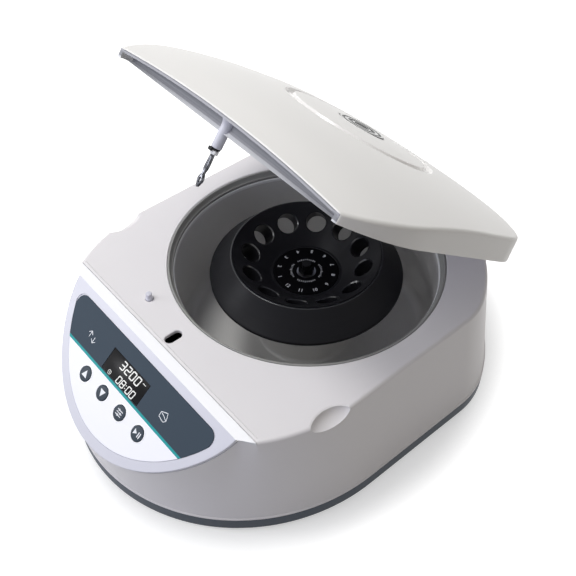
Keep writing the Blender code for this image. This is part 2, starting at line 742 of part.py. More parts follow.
def make_housing(machine, rear_panel):
    housing = finish(
        "upper_housing",
        housing_form(0.0, 0.0, -PANEL_THICKNESS - GAP, DECK_FILLET),
        "white_plastic",
        machine,
    )
    hollow = helper(
        "housing_hollow",
        housing_form(WALL, -DECK_THICKNESS, -PANEL_THICKNESS - GAP - PANEL_LEDGE, 0.0),
        machine,
    )
    for side, name in ((-1, "left"), (1, "right")):
        cut(hollow, helper(f"scoop_wall_{name}", scoop(side, WALL), machine))
    cut(hollow, helper("screw_bosses", screw_bosses(), machine))
    frame_x = POCKET_HALF_WIDTH + POCKET_FRAME
    frame_z = POCKET_HALF_HEIGHT + POCKET_FRAME
    frame_low = (-frame_x, -POCKET_DEPTH - POCKET_FLOOR, -frame_z)
    cut(hollow, helper("rear_frame", box(frame_low, (frame_x, OVERRUN, frame_z)), rear_panel))
    cut(housing, hollow)

    collar_radius = CHAMBER_RADIUS + COLLAR_WALL
    inner = CHAMBER_RADIUS - OVERRUN
    collar = ((inner, -DECK_THICKNESS / 2), (collar_radius, -DECK_THICKNESS / 2))
    collar += ((collar_radius, -GASKET_HEIGHT - GAP), (inner, -GASKET_HEIGHT - GAP))
    join(housing, helper("chamber_collar", turned(collar), machine))

    chamber = rod((0, 0, -GASKET_HEIGHT - OVERRUN), (0, 0, OVERRUN), CHAMBER_RADIUS + GAP, ROUND_STEPS)
    cut(housing, helper("chamber_hole", chamber, machine))
    for side, name in ((-1, "left"), (1, "right")):
        cut(housing, helper(f"scoop_{name}", scoop(side, 0.0), machine))

    low, high = -DECK_THICKNESS - OVERRUN, OVERRUN
    slot = plate(stadium(LATCH_SLOT_HALF_WIDTH, LATCH_SLOT_FRONT_Y, LATCH_SLOT_REAR_Y), low, high)
    cut(housing, helper("latch_slot", slot, machine))
    peg_hole = rod((PEG_X, PEG_Y, low), (PEG_X, PEG_Y, high), PEG_RADIUS + GAP)
    cut(housing, helper("peg_hole", peg_hole, machine))
    slots = bmesh.new()
    for side in (-1, 1):
        middle = side * HINGE_X
        half = ARM_HALF_WIDTH + GAP
        add_box(slots, (middle - half, HINGE_SLOT_FRONT_Y, low), (middle + half, HINGE_SLOT_REAR_Y, high))
    cut(housing, helper("hinge_slots", slots, machine))

    margin = BOARD_WINDOW_MARGIN
    window = [
        (-BOARD_HALF_WIDTH - margin, BOARD_TOP - margin),
        (BOARD_HALF_WIDTH + margin, BOARD_TOP - margin),
        (BOARD_HALF_WIDTH + margin, BOARD_BOTTOM + margin),
        (-BOARD_HALF_WIDTH - margin, BOARD_BOTTOM + margin),
    ]
    window_low = -PANEL_THICKNESS - PANEL_LEDGE - OVERRUN
    window_cut = plate(window, window_low, -PANEL_THICKNESS + OVERRUN, slope_place)
    cut(housing, helper("board_window", window_cut, machine))

    holes = bmesh.new()
    bottom = -HOUSING_HEIGHT - OVERRUN
    hole_top = -HOUSING_HEIGHT + SCREW_LENGTH - BASE_RIM_HEIGHT
    for x, y in screw_places():
        add_rod(holes, (x, y, bottom), (x, y, hole_top), SCREW_RADIUS + GAP)
    cut(housing, helper("screw_holes", holes, machine))

    pocket_low = (-POCKET_HALF_WIDTH, -POCKET_DEPTH, -POCKET_HALF_HEIGHT)
    pocket = box(pocket_low, (POCKET_HALF_WIDTH, POCKET_DEPTH, POCKET_HALF_HEIGHT))
    cut(housing, helper("rear_pocket", pocket, rear_panel))
    way_x, way_z = POCKET_HALF_WIDTH - POCKET_LEDGE, POCKET_HALF_HEIGHT - POCKET_LEDGE
    way_low = (-way_x, -POCKET_DEPTH - POCKET_FLOOR - OVERRUN, -way_z)
    way = box(way_low, (way_x, -POCKET_DEPTH + OVERRUN, way_z))
    cut(housing, helper("rear_way", way, rear_panel))
    return housing


# Base


def make_base_tray(machine):
    bm = bmesh.new()
    top, bottom = -HOUSING_HEIGHT - GAP, -HOUSING_HEIGHT - BASE_RIM_HEIGHT
    floor = bottom + TRAY_FLOOR
    levels = ((BASE_FILLET, bottom), (0.0, bottom + BASE_FILLET), (0.0, top))
    levels += ((TRAY_WALL, top), (TRAY_WALL, floor))
    rings = []
    for inset, z in levels:
        rings.append([bm.verts.new(p) for p in mirrored(at_height(base_half(inset), z))])
    for lower, upper in zip(rings, rings[1:]):
        skin(bm, lower, upper)
    bm.faces.new(rings[0])
    bm.faces.new(rings[-1])
    tray = finish("base_tray", bm, "dark_plastic", machine)

    posts = bmesh.new()
    for x, y in screw_places():
        add_rod(posts, (x, y, floor - TRAY_FLOOR / 2), (x, y, top), SCREW_BOSS_RADIUS)
    board_low = floor + MAIN_BOARD_LIFT - GAP
    for x, y in main_board_posts():
        add_rod(posts, (x, y, floor - TRAY_FLOOR / 2), (x, y, board_low), MAIN_POST_RADIUS)
    join(tray, helper("tray_posts", posts, machine))

    holes = bmesh.new()
    for x, y in screw_places():
        add_rod(holes, (x, y, bottom - OVERRUN), (x, y, top + OVERRUN), SCREW_RADIUS + GAP)
    for x, y in foot_places():
        add_rod(holes, (x, y, bottom - OVERRUN), (x, y, floor + OVERRUN), FOOT_PIN_RADIUS + GAP)
    cut(tray, helper("tray_holes", holes, machine))
    sinks = bmesh.new()
    for x, y in screw_places():
        head_top = bottom + SCREW_HEAD_HEIGHT + GAP
        add_rod(sinks, (x, y, bottom - OVERRUN), (x, y, head_top + GAP), SCREW_HEAD_RADIUS + GAP)
    cut(tray, helper("tray_sinks", sinks, machine))
    return tray


def foot_places():
    return (
        (-FOOT_SPREAD_X, FOOT_FRONT_Y),
        (FOOT_SPREAD_X, FOOT_FRONT_Y),
        (-FOOT_SPREAD_X, FOOT_REAR_Y),
        (FOOT_SPREAD_X, FOOT_REAR_Y),
    )


def make_feet(machine):
    base = -HOUSING_HEIGHT - BASE_RIM_HEIGHT
    names = ("foot_front_left", "foot_front_right", "foot_rear_left", "foot_rear_right")
    for name, place in zip(names, foot_places()):
        pin_top = base + TRAY_FLOOR + FOOT_HEIGHT / 2
        profile = (
            (0, base - FOOT_HEIGHT),
            (FOOT_RADIUS - FOOT_HEIGHT / 4, base - FOOT_HEIGHT),
            (FOOT_RADIUS, base - FOOT_HEIGHT / 2),
            (FOOT_RADIUS, base - GAP),
            (FOOT_PIN_RADIUS, base - GAP),
            (FOOT_PIN_RADIUS, pin_top),
            (0, pin_top),
        )
        finish(name, turned(profile, HOLE_STEPS, place), "rubber", machine)


def make_screws(machine):
    base = -HOUSING_HEIGHT - BASE_RIM_HEIGHT
    for number, place in enumerate(screw_places(), 1):
        head_low = base + GAP
        head_top = head_low + SCREW_HEAD_HEIGHT
        profile = (
            (0, head_low),
            (SCREW_HEAD_RADIUS, head_low),
            (SCREW_HEAD_RADIUS, head_top),
            (SCREW_RADIUS, head_top),
            (SCREW_RADIUS, base + SCREW_LENGTH - GAP),
            (0, base + SCREW_LENGTH - GAP),
        )
        finish(f"housing_screw_{number}", turned(profile, SMALL_STEPS, place), "steel", machine)


def main_board_posts():
    x = MAIN_BOARD_HALF_WIDTH - MAIN_POST_INSET
    front, rear = MAIN_BOARD_FRONT_Y + MAIN_POST_INSET, MAIN_BOARD_REAR_Y - MAIN_POST_INSET
    return ((-x, front), (x, front), (-x, rear), (x, rear))


def make_main_board(machine):
    low = -HOUSING_HEIGHT - BASE_RIM_HEIGHT + TRAY_FLOOR + MAIN_BOARD_LIFT
    high = low + BOARD_THICKNESS
    half_width = MAIN_BOARD_HALF_WIDTH
    sheet = box((-half_width, MAIN_BOARD_FRONT_Y, low), (half_width, MAIN_BOARD_REAR_Y, high))
    board = finish("main_board", sheet, "board", machine)
    middle = (MAIN_BOARD_FRONT_Y + MAIN_BOARD_REAR_Y) / 2
    half_length = (MAIN_BOARD_REAR_Y - MAIN_BOARD_FRONT_Y) / 2
    parts = bmesh.new()
    for x, y, width, length, height in MAIN_PART_SHARES:
        centre = Vector((x * half_width, middle + y * half_length, 0))
        half = Vector((width * half_width, length * half_length, 0))
        lift = Vector((0, 0, high - BOARD_THICKNESS / 2))
        rise = Vector((0, 0, high + height * MAIN_PART_HEIGHT))
        add_box(parts, centre - half + lift, centre + half + rise)
    join(board, helper("board_parts", parts, machine))


# Front panel


def make_fascia(machine):
    bm = bmesh.new()
    back_y = DECK_FRONT_Y - GAP
    corner_x = deck_half()[0][0]
    rings = []
    for inset, height in ((PANEL_EDGE, 0.0), (0.0, -PANEL_EDGE), (0.0, -PANEL_THICKNESS)):
        arc = panel_arc(PANEL_HALF_WIDTH - inset, PANEL_LENGTH - inset)
        half = [slope_place(x, down, height) for x, down in arc] + [(corner_x - inset, back_y, height)]
        left = [(-x, y, z) for x, y, z in reversed(half[1:])]
        rings.append([bm.verts.new(point) for point in half + left])
    for upper, lower in zip(rings, rings[1:]):
        skin(bm, upper, lower)
    ends = PANEL_STEPS
    for ring in (rings[0], rings[-1]):
        bm.faces.new([ring[ends], ring[ends + 1], ring[ends + 2], ring[ends + 3]])
        bm.faces.new(ring[ends + 3 :] + ring[: ends + 1])
    fascia = finish("front_fascia", bm, "panel_plastic", machine)

    post_x = BOARD_HALF_WIDTH - BOARD_POST_INSET
    posts = bmesh.new()
    for x in (-post_x, post_x):
        for down in (BOARD_TOP + BOARD_POST_INSET, BOARD_BOTTOM - BOARD_POST_INSET):
            start = slope_place(x, down, -PANEL_THICKNESS / 2)
            add_rod(posts, start, slope_place(x, down, -BOARD_DEPTH + GAP), BOARD_POST_RADIUS)
    join(fascia, helper("panel_posts", posts, machine))

    seat = plate(overlay_outline(-GAP), -OVERLAY_THICKNESS + OVERLAY_PROUD - GAP, OVERRUN, slope_place)
    cut(fascia, helper("overlay_seat", seat, machine))
    cut(fascia, helper("panel_display_hole", display_hole(GAP), machine))
    for name, x in key_places():
        cut(fascia, helper(f"panel_hole_{name}", key_hole(x), machine))
    return fascia


def overlay_outline(inset):
    """The overlay's outline as (x, distance down the slope)."""
    arc = panel_arc(OVERLAY_HALF_WIDTH - inset, OVERLAY_LENGTH - inset)
    top = OVERLAY_TOP + inset
    kept = [point for point in arc if point[1] > top + OVERLAY_CORNER]
    corner_x = kept[-1][0]
    centre_x, centre_down = corner_x - OVERLAY_CORNER, top + OVERLAY_CORNER
    corner = []
    for angle in spread(0, QUARTER, FLANK_STEPS):
        corner.append(
            (centre_x + OVERLAY_CORNER * math.cos(angle), centre_down - OVERLAY_CORNER * math.sin(angle))
        )
    half = kept + corner
    return half + [(-x, down) for x, down in reversed(half[1:])]


def display_hole(grown):
    left, right = DISPLAY_LEFT_X - grown, DISPLAY_RIGHT_X + grown
    top, bottom = DISPLAY_TOP - grown, DISPLAY_BOTTOM + grown
    outline = [(left, top), (right, top), (right, bottom), (left, bottom)]
    return plate(outline, -PANEL_THICKNESS - OVERRUN, OVERRUN, slope_place)


def key_places():
    return [(name, KEY_FIRST_X + i * KEY_PITCH) for i, name in enumerate(KEY_NAMES)]


def key_hole(x):
    low = slope_place(x, KEY_ROW, -PANEL_THICKNESS - OVERRUN)
    return rod(low, slope_place(x, KEY_ROW, OVERRUN), KEY_RADIUS + GAP, HOLE_STEPS)


def make_overlay(machine):
    low = -OVERLAY_THICKNESS + OVERLAY_PROUD
    overlay = finish(
        "control_overlay", plate(overlay_outline(0.0), low, OVERLAY_PROUD, slope_place), "overlay_film", machine
    )
    cut(overlay, helper("overlay_display_hole", display_hole(GAP), machine))
    for name, x in key_places():
        cut(overlay, helper(f"overlay_hole_{name}", key_hole(x), machine))


def make_display(machine):
    outline = [
        (DISPLAY_LEFT_X, DISPLAY_TOP),
        (DISPLAY_RIGHT_X, DISPLAY_TOP),
        (DISPLAY_RIGHT_X, DISPLAY_BOTTOM),
        (DISPLAY_LEFT_X, DISPLAY_BOTTOM),
    ]
    low = OVERLAY_PROUD - WINDOW_THICKNESS
    finish("display_window", plate(outline, low, OVERLAY_PROUD, slope_place), "window_plastic", machine)
    rim = DISPLAY_RIM
    inner = [
        (DISPLAY_LEFT_X + rim, DISPLAY_TOP + rim),
        (DISPLAY_RIGHT_X - rim, DISPLAY_TOP + rim),
        (DISPLAY_RIGHT_X - rim, DISPLAY_BOTTOM - rim),
        (DISPLAY_LEFT_X + rim, DISPLAY_BOTTOM - rim),
    ]
    module = plate(inner, -BOARD_DEPTH + GAP, low - GAP, slope_place)
    finish("display_module", module, "dark_plastic", machine)


def make_control_board(machine):
    half = BOARD_HALF_WIDTH
    outline = [(-half, BOARD_TOP), (half, BOARD_TOP), (half, BOARD_BOTTOM), (-half, BOARD_BOTTOM)]
    board = plate(outline, -BOARD_DEPTH - BOARD_THICKNESS, -BOARD_DEPTH, slope_place)
    finish("control_board", board, "board", machine)


def make_keys(panel_plane):
    """Each key slides square to the panel: its empty holds its axis."""
    for name, x in key_places():
        axis = empty(f"{name}_axis", panel_plane, (x, -KEY_ROW, 0))
        flange_top = -PANEL_THICKNESS - GAP
        flange_low = flange_top - KEY_FLANGE_THICKNESS
        stem_low = -BOARD_DEPTH + KEY_TRAVEL + GAP
        profile = (
            (0, KEY_PROUD),
            (KEY_RADIUS - KEY_PROUD / 2, KEY_PROUD),
            (KEY_RADIUS, KEY_PROUD / 2),
            (KEY_RADIUS, flange_top),
            (KEY_RADIUS + KEY_FLANGE, flange_top),
            (KEY_RADIUS + KEY_FLANGE, flange_low),
            (KEY_STEM_RADIUS, flange_low),
            (KEY_STEM_RADIUS, stem_low),
            (0, stem_low),
        )
        finish(name, turned(profile, HOLE_STEPS), "dark_plastic", axis)


# Chamber, motor and rotor


def corner_arc(centre_r, centre_z, radius, start, end, steps=2):
    points = []
    for angle in spread(start, end, steps):
        points.append((centre_r + radius * math.cos(angle), centre_z + radius * math.sin(angle)))
    return points


def make_gasket(machine):
    inner = CHAMBER_RADIUS - GASKET_WIDTH
    profile = (
        (CHAMBER_RADIUS, -GASKET_HEIGHT),
        (CHAMBER_RADIUS, 0),
        (CHAMBER_RADIUS - GASKET_WIDTH / 4, 0),
        (inner, -GASKET_HEIGHT + GASKET_WIDTH / 4),
        (inner, -GASKET_HEIGHT),
    )
    finish("chamber_gasket", turned(profile), "rubber", machine)


def make_bowl(machine):
    top = -GASKET_HEIGHT - GAP - GAP
    sheet, corner = BOWL_SHEET, BOWL_CORNER
    floor, dome_top = -BOWL_DEPTH, -DOME_TOP_DEPTH
    outer_r, flange_r = BOWL_RADIUS + sheet, BOWL_RADIUS + sheet + BOWL_FLANGE
    inside = [(BOWL_RADIUS, top)]
    inside += corner_arc(BOWL_RADIUS - corner, floor + corner, corner, 0, -QUARTER)
    foot = DOME_CORNER
    inside += corner_arc(DOME_RADIUS + foot, floor + foot, foot, -QUARTER, -math.pi, 1)
    inside += corner_arc(DOME_RADIUS - foot, dome_top - foot, foot, 0, QUARTER, 1)
    inside += [(SHAFT_HOLE_RADIUS, dome_top)]
    outside = [(SHAFT_HOLE_RADIUS, dome_top - sheet)]
    outside += corner_arc(DOME_RADIUS - foot, dome_top - foot, foot - sheet, QUARTER, 0, 1)
    outside += corner_arc(DOME_RADIUS + foot, floor + foot, foot + sheet, -math.pi, -QUARTER, 1)
    outside += corner_arc(BOWL_RADIUS - corner, floor + corner, corner + sheet, -QUARTER, 0)
    outside += [(outer_r, top - sheet), (flange_r, top - sheet), (flange_r, top)]
    finish("chamber_bowl", turned(inside + outside), "bowl_metal", machine)


def make_motor(machine, rotor_axis):
    tray_floor = -HOUSING_HEIGHT - BASE_RIM_HEIGHT + TRAY_FLOOR
    plate_low = tray_floor + ISOLATOR_HEIGHT + GAP + GAP
    plate_top = plate_low + MOTOR_PLATE_THICKNESS
    reach = ISOLATOR_SPREAD
    places = ((-reach, -reach), (reach, -reach), (-reach, reach), (reach, reach))
    for number, (x, y) in enumerate(places, 1):
        isolator = rod((x, y, tray_floor + GAP), (x, y, plate_low - GAP), ISOLATOR_RADIUS)
        finish(f"isolator_{number}", isolator, "rubber", machine)
    half = MOTOR_PLATE_HALF
    finish("motor_plate", box((-half, -half, plate_low), (half, half, plate_top)), "steel", machine)
    step = MOTOR_RADIUS / 8
    bottom, top = plate_top + GAP, -MOTOR_TOP_DEPTH
    socket = top - (top - bottom) * MOTOR_SOCKET_SHARE
    body = (
        (0, bottom),
        (MOTOR_RADIUS, bottom),
        (MOTOR_RADIUS, top - step),
        (MOTOR_RADIUS - step, top),
        (SHAFT_RADIUS + GAP, top),
        (SHAFT_RADIUS + GAP, socket),
        (0, socket),
    )
    finish("motor_body", turned(body, MOTOR_STEPS), "dark_plastic", machine)
    shaft = rod((0, 0, socket + GAP), (0, 0, -SHAFT_TOP_DEPTH), SHAFT_RADIUS)
    finish("motor_shaft", shaft, "steel", rotor_axis)


def cone_height(radius):
    """The height of the rotor's inner cone at a radius."""
    return -ROTOR_CONE_FOOT_DEPTH + (radius - ROTOR_CONE_FOOT_RADIUS) * math.tan(ROTOR_CONE_TILT)


def rotor_web_top():
    return -ROTOR_CONE_FOOT_DEPTH - DIAL_THICKNESS - GAP


def make_rotor(rotor_axis):
    lip_inner = ROTOR_LIP_RADIUS - ROTOR_LIP_WIDTH
    lip_top = ROTOR_LIP_HEIGHT
    web_top = rotor_web_top()
    web_low = web_top - ROTOR_WEB
    under_out = ROTOR_PLATE * math.sin(ROTOR_CONE_TILT)
    under_drop = ROTOR_PLATE * math.cos(ROTOR_CONE_TILT)
    skirt_inner = ROTOR_SKIRT_RADIUS - ROTOR_SKIRT_WALL
    shoulder = ROTOR_LIP_RADIUS + ROTOR_LIP_WIDTH / 2
    under_foot = ROTOR_CONE_FOOT_RADIUS + under_out
    profile = (
        (lip_inner, lip_top - ROTOR_LIP_WIDTH / 4),
        (lip_inner + ROTOR_LIP_WIDTH / 2, lip_top),
        (ROTOR_LIP_RADIUS, lip_top - ROTOR_LIP_WIDTH / 4),
        (ROTOR_SKIRT_RADIUS, -ROTOR_SKIRT_DEPTH + ROTOR_SKIRT_WALL / 2),
        (ROTOR_SKIRT_RADIUS - ROTOR_SKIRT_WALL / 4, -ROTOR_SKIRT_DEPTH),
        (skirt_inner, -ROTOR_SKIRT_DEPTH),
        (shoulder, cone_height(shoulder - under_out) - under_drop),
        (under_foot, -ROTOR_CONE_FOOT_DEPTH - under_drop),
        (under_foot - ROTOR_WEB, web_low),
        (HUB_SPIGOT_RADIUS + GAP, web_low),
        (HUB_SPIGOT_RADIUS + GAP, web_top),
        (DIAL_RADIUS + GAP, web_top),
        (DIAL_RADIUS + GAP, -ROTOR_CONE_FOOT_DEPTH),
        (ROTOR_CONE_FOOT_RADIUS, -ROTOR_CONE_FOOT_DEPTH),
    )
    head = finish("rotor_head", turned(profile), "rotor_black", rotor_axis)
    holes = bmesh.new()
    for i in range(TUBE_COUNT):
        turn = TUBE_FIRST_TURN + 2 * math.pi * i / TUBE_COUNT
        outward = Vector((math.cos(turn), math.sin(turn), 0))
        middle = outward * TUBE_CIRCLE_RADIUS + Vector((0, 0, cone_height(TUBE_CIRCLE_RADIUS)))
        along = outward * math.sin(ROTOR_CONE_TILT) - Vector((0, 0, math.cos(ROTOR_CONE_TILT)))
        start = middle - along * OVERRUN
        add_rod(holes, start, middle + along * (ROTOR_PLATE + OVERRUN), TUBE_HOLE_RADIUS, HOLE_STEPS)
    cut(head, helper("tube_holes", holes, rotor_axis))

    low = rotor_web_top() + GAP
    inner = HUB_SPIGOT_RADIUS + GAP
    high = low + DIAL_THICKNESS
    dial = ((inner, low), (DIAL_RADIUS, low), (DIAL_RADIUS, high), (inner, high))
    finish("rotor_dial", turned(dial), "rotor_black", rotor_axis)

    bore = SHAFT_RADIUS + GAP
    hub_top = web_low - GAP
    spigot_top = low + DIAL_THICKNESS
    hub = (
        (bore, -HUB_BOTTOM_DEPTH),
        (HUB_RADIUS, -HUB_BOTTOM_DEPTH),
        (HUB_RADIUS, hub_top),
        (HUB_SPIGOT_RADIUS, hub_top),
        (HUB_SPIGOT_RADIUS, spigot_top),
        (bore, spigot_top),
    )
    finish("rotor_hub", turned(hub, MOTOR_STEPS), "steel", rotor_axis)

    nut_low = spigot_top + GAP
    hexagon = rod((0, 0, nut_low), (0, 0, nut_low + NUT_HEIGHT), NUT_RADIUS, 6)
    nut = finish("rotor_nut", hexagon, "dark_plastic", rotor_axis)
    nut_bore = rod((0, 0, nut_low - OVERRUN), (0, 0, nut_low + NUT_HEIGHT + OVERRUN), bore)
    cut(nut, helper("nut_bore", nut_bore, rotor_axis))


# Lid


def share_at(place, values):
    """Reads a table along the lid, from front to rear, on a smooth curve through its values."""
    places = LID_PLACE_SHARES
    place = min(max(place, places[0]), places[-1])
    last = len(places) - 1
    i = min(sum(place >= p for p in places[1:]), last - 1)
    step = places[i + 1] - places[i]
    part = (place - places[i]) / step

    def slope(k):
        low, high = max(k - 1, 0), min(k + 1, last)
        return (values[high] - values[low]) / (places[high] - places[low])

    square, cube = part**2, part**3
    ends = values[i] * (2 * cube - 3 * square + 1) + values[i + 1] * (3 * square - 2 * cube)
    return ends + step * (slope(i) * (cube - 2 * square + part) + slope(i + 1) * (cube - square))


def lid_place(y):
    return (y - DECK_FRONT_Y) / (DECK_REAR_RADIUS - DECK_FRONT_Y)


def lid_edge(y):
    return LID_EDGE_HEIGHT * share_at(lid_place(y), LID_EDGE_SHARES)


def lid_height(x, y):
    """The height of the lid's top over the deck plane."""
    reach = min(abs(x) / max(deck_half_width(y), GAP), 1.0)
    return lid_edge(y) + LID_CROWN * share_at(lid_place(y), LID_CROWN_SHARES) * (1 - reach**2)


def lid_outline(inset):
    """The right half of the lid's outline, with the front edge."""
    front_y = DECK_FRONT_Y + inset
    side = deck_half(inset, front_y)
    front = [(x, front_y) for x in spread(0, side[0][0], LID_FRONT_STEPS)[:-1]]
    return front + side


def lid_bottom(y):
    """The lid's lower edge, which is raised where it swings past the housing's rear wall."""
    start = LID_RELIEF_START_SHARE
    rise = max(0.0, (y / DECK_REAR_RADIUS - start) / (1 - start))
    return LID_SEAM + LID_REAR_RELIEF * rise


def lid_wall_ring(level):
    """One ring of the lid's outer wall: 0 is the foot, 1 and 2 lie in the cove, 3 is the lip's lower edge."""
    points = []
    cove_y = (LID_COVE_FOOT_Y, LID_COVE_DEEP_Y, (LID_COVE_DEEP_Y + LID_COVE_FOOT_Y) / 2, DECK_FRONT_Y)
    for i, (x, y) in enumerate(lid_outline(0.0)):
        if i < LID_FRONT_STEPS:
            lip_low = lid_height(x, DECK_FRONT_Y) - LID_LIP_THICKNESS
            z = LID_SEAM + (lip_low - LID_SEAM) * LID_COVE_RING_SHARES[level]
            points.append((x, cove_y[level], z))
        else:
            low = lid_bottom(y)
            points.append((x, y, low + (lid_edge(y) - LID_FILLET - low) * LID_SIDE_RING_SHARES[level]))
    return mirrored(points)


def lid_top_ring(inset, drop):
    points = [(x, y, lid_height(x, y) - drop) for x, y in lid_outline(inset)]
    return mirrored(points)


def towards_circle(ring, radius, share, drop=0.0):
    """A ring that lies a share of the way from another to the circle about the rotor's axis."""
    points = []
    for x, y, _ in ring:
        scale = radius / math.hypot(x, y)
        px, py = x + (x * scale - x) * share, y + (y * scale - y) * share
        points.append((px, py, lid_height(px, py) - drop))
    return points


def make_lid_shell(hinge_axis, offset):
    bm = bmesh.new()
    edge = lid_top_ring(LID_FILLET, 0.0)
    outer_groove = LID_RING_RADIUS + LID_RING_WIDTH / 2
    inner_groove = LID_RING_RADIUS - LID_RING_WIDTH / 2
    seat = BADGE_RADIUS + GAP
    seat_z = lid_height(0, 0) + BADGE_PROUD - BADGE_THICKNESS - GAP
    rings = [lid_wall_ring(level) for level in range(len(LID_SIDE_RING_SHARES))]
    rings.append(lid_top_ring(0.0, LID_FILLET))
    rings.append(lid_top_ring(LID_FILLET / 4, LID_FILLET / 4))
    rings.append(edge)
    start = outer_groove + LID_RING_WIDTH
    rings += [towards_circle(edge, start, share) for share in LID_TOP_RING_SHARES]
    rings.append(towards_circle(edge, outer_groove, 1.0))
    rings.append(towards_circle(edge, outer_groove - LID_RING_SLOPE, 1.0, LID_RING_DEPTH))
    rings.append(towards_circle(edge, inner_groove + LID_RING_SLOPE, 1.0, LID_RING_DEPTH))
    rings.append(towards_circle(edge, inner_groove, 1.0))
    rings.append(towards_circle(edge, (inner_groove + seat) / 2, 1.0))
    rings.append(towards_circle(edge, seat, 1.0))
    rings.append([(x, y, seat_z) for x, y, _ in towards_circle(edge, seat, 1.0)])
    inner = []
    wall = LID_WALL
    inner_foot = lid_outline(wall)
    foot_points = []
    for i, (x, y) in enumerate(inner_foot):
        front = i < LID_FRONT_STEPS
        foot_points.append((x, LID_COVE_FOOT_Y + wall if front else y, lid_bottom(y)))
    inner.append(mirrored(foot_points))
    middle_points = []
    for i, (x, y) in enumerate(inner_foot):
        front = i < LID_FRONT_STEPS
        z = lid_edge(y) / 2 if front else max(lid_edge(y) - LID_SHOULDER, lid_edge(y) / 2)
        middle_points.append((x, LID_COVE_DEEP_Y + wall if front else y, z))
    inner.append(mirrored(middle_points))
    top_points = []
    for i, (x, y) in enumerate(lid_outline(wall + LID_FILLET / 2)):
        top_y = LID_COVE_DEEP_Y + wall if i < LID_FRONT_STEPS else y
        top_points.append((x, top_y, lid_height(x, y) - wall - LID_FILLET / 2))
    inner.append(mirrored(top_points))
    under = wall + LID_RING_DEPTH
    inner += [towards_circle(inner[-1], start, share, under) for share in LID_UNDER_RING_SHARES]
    inner.append(towards_circle(edge, seat, 1.0, under))

    def add_ring(points):
        return [bm.verts.new(point) for point in points]

    outer_rings = [add_ring(points) for points in rings]
    inner_rings = [add_ring(points) for points in inner]
    for lower, upper in zip(outer_rings, outer_rings[1:]):
        skin(bm, lower, upper)
    for lower, upper in zip(inner_rings, inner_rings[1:]):
        skin(bm, lower, upper)
    skin(bm, outer_rings[0], inner_rings[0])
    bm.faces.new(outer_rings[-1])
    centre = bm.verts.new((0, 0, lid_height(0, 0) - under))
    last = inner_rings[-1]
    for i, vert in enumerate(last):
        bm.faces.new((vert, last[(i + 1) % len(last)], centre))
    shell = finish("lid_shell", bm, "white_plastic", hinge_axis)
    shell.location = offset

    notch = rod(
        (0, LATCH_Y, -OVERRUN), (0, LATCH_Y, LATCH_BOSS_TOP + GAP), LATCH_BOSS_RADIUS + GAP, SMALL_STEPS
    )
    notch_helper = helper("latch_notch", notch, hinge_axis)
    notch_helper.location = offset
    cut(shell, notch_helper)


def make_liner(hinge_axis, offset):
    inset = LID_WALL + GAP
    half = [point for point in deck_half(inset, LINER_FRONT_Y) if point[1] < LINER_REAR_Y]
    half.append((math.sqrt((DECK_REAR_RADIUS - inset) ** 2 - LINER_REAR_Y**2), LINER_REAR_Y))
    outline = half + [(-x, y) for x, y in reversed(half)]
    bm = plate(outline, LINER_HEIGHT, LINER_HEIGHT + LINER_THICKNESS)
    liner = finish("lid_liner", bm, "panel_plastic", hinge_axis)
    liner.location = offset


def make_badge(hinge_axis, offset):
    top = lid_height(0, 0) + BADGE_PROUD
    low = top - BADGE_THICKNESS
    edge = BADGE_THICKNESS / 4
    profile = (
        (0, low),
        (BADGE_RADIUS, low),
        (BADGE_RADIUS, top - edge),
        (BADGE_RADIUS - edge, top),
        (BADGE_RADIUS / 2, top),
        (BADGE_RADIUS / 2 - edge, top - edge),
        (0, top - edge),
    )
    badge = finish("lid_badge", turned(profile, ROUND_STEPS), "silver", hinge_axis)
    badge.location = offset


def make_latch(hinge_axis, offset):
    boss_low = -LATCH_BOSS_DEPTH
    boss = finish(
        "latch_boss",
        rod((0, LATCH_Y, boss_low), (0, LATCH_Y, LATCH_BOSS_TOP), LATCH_BOSS_RADIUS),
        "white_plastic",
        hinge_axis,
    )
    collar_top = boss_low - GAP
    collar_low = collar_top - LATCH_COLLAR_THICKNESS
    half_x, half_y = LATCH_COLLAR_HALF_X, LATCH_COLLAR_HALF_Y
    collar = finish(
        "latch_collar",
        box((-half_x, LATCH_Y - half_x, collar_low), (half_x, LATCH_Y + half_y, collar_top)),
        "dark_plastic",
        hinge_axis,
    )
    nut_top = collar_low - GAP
    nut_low = nut_top - LATCH_NUT_HEIGHT
    nut = finish(
        "latch_nut",
        rod((0, LATCH_Y, nut_low), (0, LATCH_Y, nut_top), LATCH_NUT_RADIUS, 6),
        "white_plastic",
        hinge_axis,
    )
    pin_top = nut_low - GAP
    head, tip = -LATCH_HEAD_DEPTH, -LATCH_TIP_DEPTH
    waist = (pin_top + head) / 2
    right = [
        (LATCH_LEAF_HALF_Y, pin_top),
        (LATCH_LEAF_HALF_Y, waist),
        (LATCH_NECK_HALF_Y, head + LATCH_NECK_HALF_Y),
        (LATCH_HEAD_HALF_Y, head - LATCH_HEAD_HALF_Y),
        (LATCH_NECK_HALF_Y / 2, tip),
    ]
    outline = [(LATCH_Y + y, z) for y, z in right] + [(LATCH_Y - y, z) for y, z in reversed(right)]
    pin = finish(
        "latch_pin", side_plate(outline, -LATCH_LEAF_HALF_X, LATCH_LEAF_HALF_X), "steel", hinge_axis
    )
    eye_z = head - LATCH_HEAD_HALF_Y
    eye_x = LATCH_LEAF_HALF_X + OVERRUN
    eye_rod = rod((-eye_x, LATCH_Y, eye_z), (eye_x, LATCH_Y, eye_z), LATCH_EYE_RADIUS)
    eye = helper("latch_eye", eye_rod, hinge_axis)
    cut(pin, eye)
    for piece in (boss, collar, nut, pin, eye):
        piece.location = offset


# Lock and lid switch


